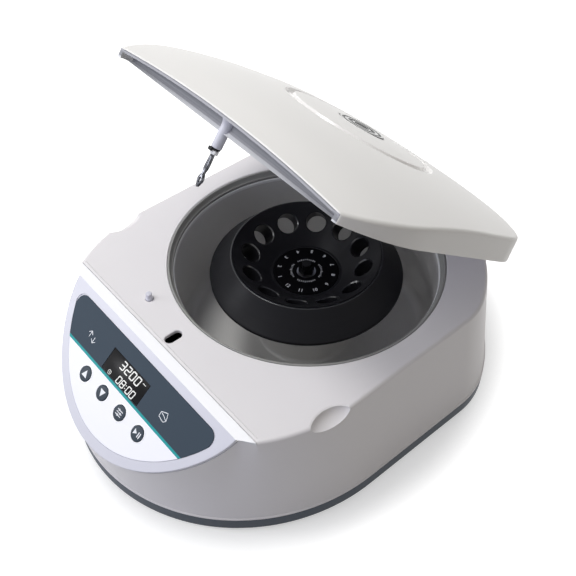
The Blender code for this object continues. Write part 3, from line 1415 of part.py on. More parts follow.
def make_lock(machine):
    top = -CATCH_DEPTH
    low = top - CATCH_THICKNESS
    near = -CATCH_HOLE_HALF_X - CATCH_NOSE - CATCH_TRAVEL
    front, rear = LATCH_Y - CATCH_HALF_Y, LATCH_Y + CATCH_HALF_Y
    neck = CATCH_HOLE_HALF_X + CATCH_NOSE
    tail = SOLENOID_NEAR_X + CATCH_TAIL
    tail_front, tail_rear = LATCH_Y - CATCH_TAIL_HALF_Y, LATCH_Y + CATCH_TAIL_HALF_Y
    outline = [
        (near, front),
        (neck, front),
        (neck, tail_front),
        (tail, tail_front),
        (tail, tail_rear),
        (neck, tail_rear),
        (neck, rear),
        (near, rear),
    ]
    catch = finish("lock_catch", plate(outline, low, top), "steel", machine)
    hole = CATCH_HOLE_HALF_X
    slot_end = -hole - CATCH_TRAVEL
    keyhole = [
        (slot_end, LATCH_Y - CATCH_SLOT_HALF_Y),
        (-hole, LATCH_Y - CATCH_SLOT_HALF_Y),
        (-hole, LATCH_Y - CATCH_HOLE_FRONT),
        (hole, LATCH_Y - CATCH_HOLE_FRONT),
        (hole, LATCH_Y + CATCH_HOLE_REAR),
        (-hole, LATCH_Y + CATCH_HOLE_REAR),
        (-hole, LATCH_Y + CATCH_SLOT_HALF_Y),
        (slot_end, LATCH_Y + CATCH_SLOT_HALF_Y),
    ]
    cut(catch, helper("catch_keyhole", plate(keyhole, low - OVERRUN, top + OVERRUN), machine))

    far = SOLENOID_NEAR_X + SOLENOID_LENGTH
    block_front = DECK_FRONT_Y + WALL + GAP
    block_low = (SOLENOID_NEAR_X, block_front, -SOLENOID_DEPTH)
    block = box(block_low, (far, block_front + SOLENOID_WIDTH, -DECK_THICKNESS - GAP))
    solenoid = finish("lock_solenoid", block, "dark_plastic", machine)
    slot_low = (SOLENOID_NEAR_X - OVERRUN, tail_front - GAP, low - GAP)
    slot_high = (tail + CATCH_TRAVEL + GAP, tail_rear + GAP, top + GAP)
    cut(solenoid, helper("catch_slot", box(slot_low, slot_high), machine))


def make_lid_switch(machine):
    peg = (
        (0, PEG_HEIGHT),
        (PEG_RADIUS - PEG_COLLAR / 2, PEG_HEIGHT),
        (PEG_RADIUS, PEG_HEIGHT - PEG_COLLAR / 2),
        (PEG_RADIUS, -PEG_DEPTH),
        (0, -PEG_DEPTH),
    )
    finish(
        "lid_switch_plunger",
        turned(peg, SMALL_STEPS, (PEG_X, PEG_Y)),
        "white_plastic",
        machine,
        origin=(PEG_X, PEG_Y, 0),
    )
    top = -DECK_THICKNESS - GAP
    low = top - SWITCH_HEIGHT
    block_low = (PEG_X - SWITCH_HALF_X, PEG_Y - SWITCH_HALF_Y, low)
    block = box(block_low, (PEG_X + SWITCH_HALF_X, PEG_Y + SWITCH_HALF_Y, top))
    body = finish("lid_switch_body", block, "dark_plastic", machine)
    bore_low = -PEG_DEPTH - PEG_TRAVEL - GAP
    bore = rod((PEG_X, PEG_Y, bore_low), (PEG_X, PEG_Y, OVERRUN), PEG_RADIUS + GAP)
    cut(body, helper("switch_bore", bore, machine))


# Hinges


def arm_outline():
    """The hinge arm's outline as (y, z), with the lid closed: an eye, a leaning leg and a foot."""
    pin = Vector((HINGE_Y, -HINGE_DEPTH))
    along = Vector((-math.sin(ARM_LEAN), math.cos(ARM_LEAN)))
    across = Vector((math.cos(ARM_LEAN), math.sin(ARM_LEAN)))
    foot_top = LINER_HEIGHT - GAP
    foot_low = foot_top - ARM_FOOT_THICKNESS

    def leg_point(side, z):
        base = pin + across * (side * ARM_LEG_HALF)
        return base + along * ((z - base.y) / along.y)

    leave = math.asin(ARM_LEG_HALF / ARM_EYE_RADIUS)
    lean_angle = math.atan2(along.y, along.x)
    eye = []
    for angle in spread(lean_angle + leave, lean_angle + 2 * math.pi - leave, SMALL_STEPS):
        eye.append(pin + Vector((math.cos(angle), math.sin(angle))) * ARM_EYE_RADIUS)
    front_foot = [Vector((ARM_FOOT_FRONT_Y, foot_top)), Vector((ARM_FOOT_FRONT_Y, foot_low))]
    points = [*front_foot, leg_point(-1, foot_low), *eye, leg_point(1, foot_top)]
    return [(p.x, p.y) for p in points]


def make_hinge(side, name, machine, hinge_axis, offset):
    middle = side * HINGE_X
    half = ARM_HALF_WIDTH
    bore_radius = HINGE_PIN_RADIUS + RUNNING_GAP
    reach = half + BRACKET_SHEET + BRACKET_FLANGE + OVERRUN
    arm = finish(
        f"hinge_arm_{name}", side_plate(arm_outline(), middle - half, middle + half), "steel", hinge_axis
    )
    bore = rod((middle - reach, HINGE_Y, -HINGE_DEPTH), (middle + reach, HINGE_Y, -HINGE_DEPTH), bore_radius)
    arm_bore = helper(f"arm_bore_{name}", bore, hinge_axis)
    cut(arm, arm_bore)
    for piece in (arm, arm_bore):
        piece.location = offset

    top = -DECK_THICKNESS - GAP
    inner = half + GAP
    outer = inner + BRACKET_SHEET
    flange = outer + BRACKET_FLANGE
    web_top = -HINGE_DEPTH - ARM_EYE_RADIUS - ARM_CLEARANCE
    hat = [
        (-flange, top),
        (-flange, top - BRACKET_SHEET),
        (-outer, top - BRACKET_SHEET),
        (-outer, web_top - BRACKET_SHEET),
        (outer, web_top - BRACKET_SHEET),
        (outer, top - BRACKET_SHEET),
        (flange, top - BRACKET_SHEET),
        (flange, top),
        (inner, top),
        (inner, web_top),
        (-inner, web_top),
        (-inner, top),
    ]
    bracket = finish(
        f"hinge_bracket_{name}",
        plate(hat, BRACKET_FRONT_Y, BRACKET_REAR_Y, lambda x, z, y: (middle + x, y, z)),
        "steel",
        machine,
    )
    bracket_bore = rod(
        (middle - reach, HINGE_Y, -HINGE_DEPTH), (middle + reach, HINGE_Y, -HINGE_DEPTH), bore_radius
    )
    cut(bracket, helper(f"bracket_bore_{name}", bracket_bore, machine))

    pin_end = outer + HINGE_PIN_HEAD
    head_start = outer + GAP
    pin = rod(
        (middle - pin_end, HINGE_Y, -HINGE_DEPTH),
        (middle + head_start, HINGE_Y, -HINGE_DEPTH),
        HINGE_PIN_RADIUS,
    )
    pin_object = finish(f"hinge_pin_{name}", pin, "steel", machine)
    head = rod(
        (middle + head_start - GAP / 2, HINGE_Y, -HINGE_DEPTH),
        (middle + head_start + HINGE_PIN_HEAD, HINGE_Y, -HINGE_DEPTH),
        HINGE_PIN_HEAD_RADIUS,
    )
    join(pin_object, helper(f"pin_head_{name}", head, machine))


# Rear panel


def make_rear_panel(rear_panel):
    """The pieces in the rear pocket. In their frame -Y goes into the machine, from y = 0 in the wall."""
    seat = -POCKET_DEPTH + GAP
    face = seat + REAR_PLATE_THICKNESS
    half_x, half_z = POCKET_HALF_WIDTH - GAP, POCKET_HALF_HEIGHT - GAP
    rear_plate = finish(
        "rear_plate", box((-half_x, seat, -half_z), (half_x, face, half_z)), "panel_plastic", rear_panel
    )
    openings = bmesh.new()
    low_y, high_y = seat - OVERRUN, face + OVERRUN
    for x, half_width, half_height in (
        (INLET_X, INLET_HALF_WIDTH, INLET_HALF_HEIGHT),
        (ROCKER_X, ROCKER_HALF_WIDTH + ROCKER_FRAME_WALL, ROCKER_HALF_HEIGHT + ROCKER_FRAME_WALL),
    ):
        wide, tall = half_width + GAP, half_height + GAP
        add_box(openings, (x - wide, low_y, -tall), (x + wide, high_y, tall))
    add_rod(openings, (FUSE_X, low_y, 0), (FUSE_X, high_y, 0), FUSE_RADIUS + GAP, HOLE_STEPS)
    cut(rear_plate, helper("rear_plate_openings", openings, rear_panel))
    make_inlet(rear_panel, face)
    make_fuse_holder(rear_panel, face)
    make_rocker(rear_panel, face)


def make_inlet(rear_panel, face):
    x, half_width, half_height = INLET_X, INLET_HALF_WIDTH, INLET_HALF_HEIGHT
    flange_low = face + GAP
    front = flange_low + INLET_FLANGE_THICKNESS
    back = front - INLET_BODY_DEPTH
    inlet = finish(
        "power_inlet",
        box((x - half_width, back, -half_height), (x + half_width, front - GAP, half_height)),
        "dark_plastic",
        rear_panel,
    )
    wide, tall = half_width + INLET_FLANGE, half_height + INLET_FLANGE
    flange = helper("inlet_flange", box((x - wide, flange_low, -tall), (x + wide, front, tall)), rear_panel)
    join(inlet, flange)
    wide, tall = half_width - INLET_WALL, half_height - INLET_WALL
    floor = front - INLET_SOCKET_DEPTH
    hollow = box((x - wide, floor, -tall), (x + wide, front + OVERRUN, tall))
    cut(inlet, helper("inlet_socket", hollow, rear_panel))
    blades = bmesh.new()
    for side in (-1, 0, 1):
        centre = x + side * INLET_BLADE_PITCH
        low = (centre - INLET_BLADE_HALF_WIDTH, floor - INLET_WALL / 2, -INLET_BLADE_HALF_HEIGHT)
        high = (centre + INLET_BLADE_HALF_WIDTH, floor + INLET_BLADE_LENGTH, INLET_BLADE_HALF_HEIGHT)
        add_box(blades, low, high)
    join(inlet, helper("inlet_blades", blades, rear_panel))


def make_fuse_holder(rear_panel, face):
    back, front = face - FUSE_BODY_DEPTH, face + FUSE_PROUD
    body = rod((FUSE_X, back, 0), (FUSE_X, front - GAP, 0), FUSE_RADIUS, HOLE_STEPS)
    holder = finish("fuse_holder", body, "dark_plastic", rear_panel)
    flange = rod((FUSE_X, face + GAP, 0), (FUSE_X, front, 0), FUSE_RADIUS + FUSE_FLANGE, HOLE_STEPS)
    join(holder, helper("fuse_flange", flange, rear_panel))


def make_rocker(rear_panel, face):
    x = ROCKER_X
    outer_x, outer_z = ROCKER_HALF_WIDTH + ROCKER_FRAME_WALL, ROCKER_HALF_HEIGHT + ROCKER_FRAME_WALL
    front = face + GAP + ROCKER_FRAME_PROUD
    back = face - ROCKER_BODY_DEPTH
    frame = finish(
        "rocker_frame",
        box((x - outer_x, back, -outer_z), (x + outer_x, front - GAP, outer_z)),
        "dark_plastic",
        rear_panel,
    )
    wide, tall = outer_x + ROCKER_FRAME_FLANGE, outer_z + ROCKER_FRAME_FLANGE
    flange = helper("rocker_flange", box((x - wide, face + GAP, -tall), (x + wide, front, tall)), rear_panel)
    join(frame, flange)
    well_low = (x - ROCKER_HALF_WIDTH - GAP, back + ROCKER_FRAME_WALL, -ROCKER_HALF_HEIGHT - GAP)
    well_high = (x + ROCKER_HALF_WIDTH + GAP, front + OVERRUN, ROCKER_HALF_HEIGHT + GAP)
    cut(frame, helper("rocker_well", box(well_low, well_high), rear_panel))

    pivot = front - ROCKER_PIVOT_DEPTH
    axis = empty("rocker_axis", rear_panel, (x, pivot, 0))
    reach = ROCKER_REACH
    half = ROCKER_HALF_HEIGHT - ROCKER_END_GAP
    proud = reach / 3
    outline = [
        (proud, -half),
        (proud / 2, 0),
        (proud, half),
        (-reach / 4, half),
        (-reach, half / 3),
        (-reach, -half / 3),
        (-reach / 4, -half),
    ]
    rocker = finish(
        "power_rocker",
        side_plate(outline, -ROCKER_HALF_WIDTH, ROCKER_HALF_WIDTH),
        "dark_plastic",
        axis,
    )
    rocker.rotation_euler.x = ROCKER_TILT


def build():
    clear_scene()
    deck_height = FOOT_HEIGHT + BASE_RIM_HEIGHT + HOUSING_HEIGHT
    machine = empty("machine", None, (0, ROTOR_AXIS_Y, deck_height))
    panel_plane = empty("panel_plane", machine, slope_place(0, 0), PANEL_SLOPE)
    rotor_axis = empty("rotor_axis", machine)
    hinge_axis = empty("hinge_axis", machine, (0, HINGE_Y, -HINGE_DEPTH), -LID_OPEN)
    closed = (0, -HINGE_Y, HINGE_DEPTH)
    flare = BASE_REAR_RADIUS - DECK_REAR_RADIUS
    wall_lean = math.atan2(flare, HOUSING_HEIGHT)
    pocket_y = DECK_REAR_RADIUS + flare * POCKET_CENTRE_DEPTH / HOUSING_HEIGHT
    rear_panel = empty("rear_panel", machine, (0, pocket_y, -POCKET_CENTRE_DEPTH), wall_lean)

    make_base_tray(machine)
    make_feet(machine)
    make_screws(machine)
    make_main_board(machine)
    make_housing(machine, rear_panel)
    make_fascia(machine)
    make_overlay(machine)
    make_display(machine)
    make_control_board(machine)
    make_keys(panel_plane)
    make_gasket(machine)
    make_bowl(machine)
    make_motor(machine, rotor_axis)
    make_rotor(rotor_axis)
    make_lid_shell(hinge_axis, closed)
    make_liner(hinge_axis, closed)
    make_badge(hinge_axis, closed)
    make_latch(hinge_axis, closed)
    make_lock(machine)
    make_lid_switch(machine)
    for side, name in ((-1, "left"), (1, "right")):
        make_hinge(side, name, machine, hinge_axis, closed)
    make_rear_panel(rear_panel)


build()
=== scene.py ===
"""The looks of the bench centrifuge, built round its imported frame.

Lengths are in metres. Most pieces are made in the deck's own frame, with the rotor's axis at the origin and
z = 0 in the deck plane, and the matrices DECK, PANEL and LID put them in place. The lid is made closed.
"""

import json
import math

import bmesh
import bpy
from mathutils import Matrix, Vector


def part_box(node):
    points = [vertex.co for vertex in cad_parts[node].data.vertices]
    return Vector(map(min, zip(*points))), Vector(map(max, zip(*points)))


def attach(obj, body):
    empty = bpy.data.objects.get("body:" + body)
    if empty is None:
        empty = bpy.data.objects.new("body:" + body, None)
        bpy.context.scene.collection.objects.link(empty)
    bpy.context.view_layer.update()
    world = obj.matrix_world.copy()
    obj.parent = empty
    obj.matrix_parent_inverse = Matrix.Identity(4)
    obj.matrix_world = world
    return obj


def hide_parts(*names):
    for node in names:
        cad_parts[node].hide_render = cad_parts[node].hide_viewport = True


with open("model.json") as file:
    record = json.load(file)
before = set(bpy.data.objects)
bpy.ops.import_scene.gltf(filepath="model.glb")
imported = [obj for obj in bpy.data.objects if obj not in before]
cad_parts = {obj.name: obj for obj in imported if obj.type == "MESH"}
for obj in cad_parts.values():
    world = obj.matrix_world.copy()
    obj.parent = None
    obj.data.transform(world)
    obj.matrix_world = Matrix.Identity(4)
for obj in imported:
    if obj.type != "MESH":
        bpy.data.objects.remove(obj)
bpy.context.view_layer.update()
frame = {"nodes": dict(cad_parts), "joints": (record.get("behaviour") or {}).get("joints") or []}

# Steps along the curves
PANEL_STEPS = 36
FLANK_STEPS = 16
SIDE_STEPS = 8
BLEND_STEPS = 14
REAR_STEPS = 28
WALL_STEPS = 8
FILLET_STEPS = 6
LID_FRONT_STEPS = 24
COVE_STEPS = 40
CORNER_STEPS = 6
ROUND_STEPS = 144
HOLE_STEPS = 48
SMALL_STEPS = 32
DOT_STEPS = 12
QUARTER = math.pi / 2
SHARP = math.radians(32)
SIDES = (-1, 1)

# Gaps, overruns of cutters, merge distances, the height of printed marks and the step to a support ring
GAP = 0.0003
OVERRUN = 0.002
WELD = 0.0000005
NODE_WELD = 0.000002
PRINT = 0.00006
SUPPORT = 0.0004

# Deck and base
HOUSING_HEIGHT = 0.095
BASE_RIM_HEIGHT = 0.0097
BASE_DROP = 0.0010
BASE_TOP = -HOUSING_HEIGHT + 0.0016
BASE_WALL = 0.003
BASE_FILLET = 0.0012
FOOT_HEIGHT = 0.004 - BASE_DROP
SINK_RADIUS = 0.0036
DECK_HALF_WIDTH = 0.135
DECK_FRONT_Y = -0.1456
DECK_FLANK_CENTRE_Y = -0.075
DECK_REAR_RADIUS = 0.1485
DECK_BLEND_RADIUS = 0.060
DECK_THICKNESS = 0.003
DECK_FILLET = 0.003
DECK_FRONT_ROUND = 0.0016
SEAM_BACK = 0.0026
SEAM_WIDTH = 0.0005
BASE_HALF_WIDTH = 0.1485
BASE_FRONT_DEPTH = 0.157
BASE_FLANK_CENTRE_Y = -0.060
BASE_REAR_RADIUS = 0.1615
BASE_BLEND_RADIUS = 0.075
WALL = 0.003
WALL_FOOT = ((0.0, 0.0012), (0.0003, 0.0015), (0.0009, 0.0016), (0.0010, 0.0020))
PANEL_END_TURN = math.radians(48)
LEDGE_END_TURN = math.radians(52)
CORNER_TURN = math.radians(55)
CREASE_PLACE = (0.085, -0.09)
CREASE_PASSES = 14

# Front panel. KEY_FLANGE is a radius and a thickness, KEY_STEM a radius and the height of its end
STRIP_FRONT_Y = -0.1549
STRIP_DROP = 0.0005
PANEL_SLOPE = math.radians(40.2)
PANEL_HALF_WIDTH = 0.1035
PANEL_LENGTH = 0.0894
PANEL_THICKNESS = 0.003
PANEL_EDGE = 0.001
PANEL_INSET = 0.00045
PANEL_SEAT_WALL = 0.0025
PANEL_CUT = -0.006
ARC_POWER = 1.4
OVERLAY_TOP = 0.007
OVERLAY_HALF_WIDTH = 0.095
OVERLAY_LENGTH = 0.0804
OVERLAY_CORNER = 0.008
OVERLAY_EDGE = 0.00012
OVERLAY_PROUD = 0.0002
OVERLAY_THICKNESS = 0.0005
STRIPE_TOP = 0.0392
STRIPE_BOTTOM = 0.0413
DISPLAY_CORNERS = ((-0.0295, 0.0194), (0.0184, 0.0383))
DISPLAY_THICKNESS = 0.0018
DISPLAY_EDGE = 0.0003
BOARD_WINDOW = ((-0.054, 0.010), (0.054, 0.066))
KEY_ROW = 0.052
KEY_RADIUS = 0.0061
KEY_ROUND = 0.0006
KEY_PROUD = 0.0009
KEY_DISH = 0.00005
KEY_FLANGE = (0.0072, 0.001)
KEY_STEM = (0.002, -0.0067)
KEY_FIRST_X = -0.0385
KEY_PITCH = 0.02413
KEY_NAMES = ("key_up", "key_down", "key_set", "key_run")
KEYS = {name: KEY_FIRST_X + i * KEY_PITCH for i, name in enumerate(KEY_NAMES)}

# The lit figures: strokes of seven segments, in a cell one wide and two high
SEGMENTS = {
    "a": ((0.1, 2), (0.9, 2)),
    "b": ((1, 1.9), (1, 1.1)),
    "c": ((1, 0.9), (1, 0.1)),
    "d": ((0.1, 0), (0.9, 0)),
    "e": ((0, 0.9), (0, 0.1)),
    "f": ((0, 1.9), (0, 1.1)),
    "g": ((0.1, 1), (0.9, 1)),
}
FIGURES = {"0": "abcdef", "2": "abged", "3": "abgcd", "8": "abcdefg"}
FIGURE_LEAN = 0.12
FIGURE_RISE = 0.8
FIGURE_STROKE = 0.24
ICON_STROKE = 0.0005

# Openings in the deck and the rear wall, each block by its lowest and highest corner
CHAMBER_RADIUS = 0.115
CHAMBER_CUT = -0.012
SCOOP_CENTRE = (0.1376, -0.0945, 0.001)
SCOOP_HALF_SIZES = (0.0136, 0.019, 0.0108)
SCOOP_RIM = 0.0010
SCOOP_RIM_DEPTH = 0.0009
LATCH_SLOT = (0.0040, -0.1419, -0.1270)
PEG = (-0.0443, -0.1263)
PEG_RADIUS = 0.0031
HINGE_SLOT_X = 0.036
HINGE_SLOT_HALF = 0.0043
HINGE_SLOT_Y = (0.1215, 0.1377)
SLOT_CHAMFER = 0.0005
REAR_POCKET_Z = -0.058
REAR_POCKET = ((-0.044, -0.009, -0.018), (0.044, 0.009, 0.018))
REAR_WAY = ((-0.041, -0.015, -0.015), (0.041, -0.007, 0.015))
REAR_FRAME = ((-0.050, -0.013, -0.024), (0.050, OVERRUN, 0.024))

# Chamber: the seal, and the bowl with its well and the tower over the motor
SEAL_WIDTH = 0.0042
SEAL_LOW = -0.007
BOWL_SHEET = 0.0015
BOWL_RADIUS = 0.110
BOWL_FLOOR = -0.092
BOWL_CORNER = 0.010
BOWL_WELL = 0.044
BOWL_WELL_ROUND = 0.004
BOWL_TOWER = 0.036
BOWL_TOWER_TOP = -0.045
BOWL_SHAFT_HOLE = 0.009
BOWL_FLANGE = 0.120
BEAD = 0.0008
BEAD_DEPTH = 0.0024

# Lid, measured closed
LID_SEAM = 0.0005
LID_WALL = 0.0022
LID_UNDER = LID_WALL + 0.002
LID_REAR_RELIEF = 0.0015
LID_RELIEF_START = 0.6
LID_FILLET = 0.0026
LID_FRONT_SHARE = 0.35
LID_LEAN = 0.0032
LID_LEAN_START = 0.020
LID_LEAN_RUN = 0.080
LID_CORNER = 0.0030
LID_LIP_THICKNESS = 0.0030
LIP_SEAM_DROP = 0.0013
LIP_SEAM_WIDTH = 0.0005
LID_EDGE_HEIGHT = 0.0202
LID_CROWN = 0.0150
LID_PLACES = (0.0, 0.12, 0.29, 0.43, 0.56, 0.70, 0.85, 1.0)
LID_EDGE_SHARES = (0.371, 0.63, 0.876, 0.985, 1.0, 0.99, 0.93, 0.87)
LID_CROWN_SHARES = (0.410, 0.88, 1.02, 0.96, 0.83, 0.62, 0.36, 0.03)
LID_TOP_RINGS = (0.050, 0.042, 0.034, 0.028, 0.0235)
COVE_POST = 0.0038
COVE_END = 0.0030
COVE_PROFILE = (
    (-0.1398, 0.0),
    (-0.1382, 0.08),
    (-0.1370, 0.20),
    (-0.1363, 0.36),
    (-0.1362, 0.50),
    (-0.1366, 0.66),
    (-0.1377, 0.80),
    (-0.1395, 0.90),
    (-0.1420, 0.97),
    (-0.1440, 1.0),
)
# Shares up the cove: painted light below the first, painted shade between the other two
COVE_LIGHT_FOOT_SHARE = 0.2
COVE_SHADE_SHARES = (0.3, 1.01)
INNER_FRONT_Y = -0.1340
GROOVE_RADIUS = 0.0611
GROOVE_REACH = 0.0080
GROOVE_HALF_PROFILE = (
    (0.0048, 0.0),
    (0.0042, 0.0),
    (0.0038, 0.0002),
    (0.0034, 0.0010),
    (0.0030, 0.0021),
    (0.0025, 0.0027),
    (0.0016, 0.0030),
)
BADGE_RADIUS = 0.0197
BADGE_SEAT = 0.0013
BADGE_RELIEF = 0.0004
BADGE_RINGS = ((0.0187, 0.0172), (0.0147, 0.0118), (0.0082, 0.0064))
LATCH_Y = -0.1370
LINER_LEVELS = (0.0055, 0.0072)
LINER_Y = (-0.116, 0.131)

# Rotor
CONE_TILT = math.radians(35.5)
CONE_FOOT = (0.030, -0.0182)
ROTOR_LIP = 0.0632
ROTOR_LIP_WIDTH = 0.0018
ROTOR_LIP_TOP = 0.0039
ROTOR_SKIRT = 0.0813
ROTOR_SKIRT_LOW = -0.0188
ROTOR_SKIRT_WALL = 0.0028
ROTOR_PLATE = 0.006
WEB_TOP = CONE_FOOT[1] - 0.0015
WEB_LOW = WEB_TOP - 0.0045
SPIGOT_RADIUS = 0.008
SHAFT_BORE = 0.0043
TUBE_COUNT = 12
TUBE_CIRCLE = 0.0475
TUBE_RADIUS = 0.00875
TUBE_CHAMFER = 0.0006
TUBE_FIRST_TURN = math.radians(9)
SLEEVE_TOP = -0.0055
SLEEVE_LENGTH = 0.0110
SLEEVE_RADII = (TUBE_RADIUS + 0.0001, TUBE_RADIUS + 0.0011)
NUT_RADIUS = 0.0068
NUT_HEIGHT = 0.006
DIAL_RADIUS = 0.0275
DIAL_TOP = -0.0182
NUMBER_RADIUS = 0.0232
NUMBER_SIZE = 0.0046
FIRST_NUMBER_TURN = math.radians(-113)
TICKS = 48
TICK_RADII = (0.0121, 0.0133, 0.0138)

# Camera, floor and lights, each light by its place, size, power and colour
CAMERA_PLACE = (0.3756, -0.3085, 0.6174)
CAMERA_AZIMUTH = math.radians(49.68)
CAMERA_ELEVATION = math.radians(47.33)
CAMERA_LENS = 54.0845
WORLD_LIGHT = 0.25
FLOOR_TONE = 0.42
FLOOR_LIGHT = 1.35
FLOOR_STRETCH = (1.25, 1, 1)
FLOOR_RAMP = {"From Min": 0.195, "From Max": 0.26, "To Min": 0.35, "To Max": 1.0}
MIDDLE = (0, 0, 0.10)
WHITE = (1, 1, 1)
SOFTBOXES = {
    "overhead": ((-0.45, -0.22, 1.45), 0.45, 10.0, WHITE),
    "front": ((-0.40, -0.95, 1.40), 0.6, 6.2, (0.96, 0.97, 1.0)),
    "rear": ((-0.2, 1.05, 1.15), 0.6, 2.2, WHITE),
    "left front": ((-1.0, -1.2, 0.72), 0.35, 5.0, (0.95, 0.96, 1.0)),
    "low front": ((0.1, -1.7, 0.3), 0.7, 3.2, (0.55, 0.62, 1.0)),
    "right": ((1.6, 0.5, 0.4), 0.8, 1.4, (1.0, 0.84, 0.64)),
}

# Places of the deck, the sloped panel, the rear pocket and the open lid
DECK_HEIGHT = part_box("upper_housing")[1].z
gasket_low, gasket_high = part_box("chamber_gasket")
AXIS_Y = (gasket_low.y + gasket_high.y) / 2
DECK = Matrix.Translation((0, AXIS_Y, DECK_HEIGHT))
PANEL_ON_DECK = Matrix.Translation((0, STRIP_FRONT_Y, -STRIP_DROP)) @ Matrix.Rotation(PANEL_SLOPE, 4, "X")
PANEL = DECK @ PANEL_ON_DECK
REAR_FLARE = BASE_REAR_RADIUS - DECK_REAR_RADIUS
REAR_POCKET_Y = DECK_REAR_RADIUS - REAR_FLARE * REAR_POCKET_Z / HOUSING_HEIGHT
REAR_TURN = Matrix.Rotation(math.atan2(REAR_FLARE, HOUSING_HEIGHT), 4, "X")
REAR_ON_DECK = Matrix.Translation((0, REAR_POCKET_Y, REAR_POCKET_Z)) @ REAR_TURN
lid_joint = next(joint for joint in frame["joints"] if joint["name"] == "lid_hinge")
hinge = Vector(lid_joint["pos_m"])
opening = math.radians(lid_joint["range_deg"][1])
LID = Matrix.Translation(hinge) @ Matrix.Rotation(-opening, 4, "X") @ Matrix.Translation(-hinge) @ DECK


# Shader nodes


def from_srgb(*levels):
    """The linear colour of three levels from 0 to 255 as a screen shows them."""
    linear = []
    for level in levels:
        share = level / 255
        linear.append(share / 12.92 if share <= 0.04045 else ((share + 0.055) / 1.055) ** 2.4)
    return (*linear, 1.0)


def fill(tree, node, inputs):
    """Sets each input of a node to a value, or joins it to a socket."""
    for label, value in inputs.items():
        if isinstance(value, bpy.types.NodeSocket):
            tree.links.new(value, node.inputs[label])
        else:
            node.inputs[label].default_value = value


def wire(tree, kind, inputs=None, **settings):
    """The outputs of a new node."""
    node = tree.nodes.new("ShaderNode" + kind)
    for name, value in settings.items():
        setattr(node, name, value)
    fill(tree, node, inputs or {})
    return node.outputs


def calculate(tree, operation, *values):
    return wire(tree, "Math", dict(enumerate(values)), operation=operation)[0]


def new_group(name, inputs):
    """A node group that gives a colour, a roughness and a height, and the sockets of its inputs."""
    group = bpy.data.node_groups.new(name, "ShaderNodeTree")
    for label, default in inputs.items():
        kind = {3: "Vector", 4: "Color"}[len(default)] if isinstance(default, tuple) else "Float"
        socket = group.interface.new_socket(label, in_out="INPUT", socket_type="NodeSocket" + kind)
        socket.default_value = default
    for label, kind in (("Colour", "Color"), ("Roughness", "Float"), ("Height", "Float")):
        group.interface.new_socket(label, in_out="OUTPUT", socket_type="NodeSocket" + kind)
    return group, group.nodes.new("NodeGroupInput").outputs


def give_out(group, own, noise, height):
    """Ends a group whose colour and roughness swing about their own values by a noise from 0 to 1."""
    swing = calculate(group, "SUBTRACT", noise, 0.5)
    value = calculate(group, "MULTIPLY_ADD", swing, own["Colour Drift"], 1.0)
    colour = wire(group, "HueSaturation", {"Color": own["Colour"], "Value": value})[0]
    rough = calculate(group, "MULTIPLY_ADD", swing, own["Roughness Drift"], own["Roughness"])
    result = group.nodes.new("NodeGroupOutput")
    fill(group, result, {"Colour": colour, "Roughness": rough, "Height": height})
    return group


def moulded_grain():
    """Moulded plastic: a fine spark-eroded grain over slow changes of tone and gloss."""
    inputs = {"Colour": (0.8, 0.8, 0.8, 1), "Colour Drift": 0.03, "Roughness": 0.4, "Roughness Drift": 0.1}
    group, own = new_group("Moulded grain", inputs | {"Grain Scale": 1800.0, "Drift Scale": 18.0})
    place = wire(group, "TexCoord")["Object"]
    grain = wire(group, "TexNoise", {"Vector": place, "Scale": own["Grain Scale"], "Detail": 3.0})
    drift = wire(group, "TexNoise", {"Vector": place, "Scale": own["Drift Scale"], "Detail": 4.0})
    return give_out(group, own, drift["Fac"], grain["Fac"])


def turned_lines():
    """Turned or spun metal: fine rings about the rotor's axis, and on its walls."""
    inputs = {"Colour": (0.5, 0.5, 0.5, 1), "Colour Drift": 0.15, "Roughness": 0.35, "Roughness Drift": 0.12}
    group, own = new_group("Turned lines", inputs | {"Line Scale": 3000.0, "Centre": (0, 0, 0)})
    place = wire(group, "TexCoord")["Object"]
    offset = wire(group, "VectorMath", {0: place, 1: own["Centre"]}, operation="SUBTRACT")
    axes = wire(group, "SeparateXYZ", {0: offset[0]})
    across, along = [calculate(group, "POWER", axes[axis], 2.0) for axis in "XY"]
    radius = calculate(group, "SQRT", calculate(group, "ADD", across, along))
    inputs = {"W": calculate(group, "ADD", radius, axes["Z"]), "Scale": own["Line Scale"], "Detail": 4.0}
    lines = wire(group, "TexNoise", inputs, noise_dimensions="1D")["Fac"]
    return give_out(group, own, lines, lines)


GRAIN = moulded_grain()
TURNED = turned_lines()
BUMP_DEPTH = 0.0001


def new_material(name, group, levels, roughness, bump, shine, metallic=0.0, glow=0.0, **values):
    """A material whose colour, roughness and bump come from a node group."""
    made = bpy.data.materials.new(name)
    made.use_nodes = True
    tree = made.node_tree
    own = {label.replace("_", " ").title(): value for label, value in values.items()}
    own |= {"Colour": from_srgb(*levels), "Roughness": roughness}
    surface = wire(tree, "Group", own, node_tree=group)
    colour = surface["Colour"]
    bumped = wire(tree, "Bump", {"Height": surface["Height"], "Strength": bump, "Distance": BUMP_DEPTH})
    inputs = {"Base Color": colour, "Roughness": surface["Roughness"], "Normal": bumped[0]}
    inputs |= {"Metallic": metallic, "Specular IOR Level": shine}
    if glow:
        inputs |= {"Emission Color": colour, "Emission Strength": glow}
    fill(tree, tree.nodes["Principled BSDF"], inputs)
    return made


def grained(name, levels, roughness, bump, shine=0.5, **values):
    return new_material(name, GRAIN, levels, roughness, bump, shine, **values)


def spun(name, levels, roughness, bump, shine=0.5, **values):
    return new_material(name, TURNED, levels, roughness, bump, shine, centre=(0, AXIS_Y, 0), **values)


# Scales of the grain
COARSE = 900.0
RUBBED = 1200.0
SMOOTH = 1400.0
FILM = 3200.0

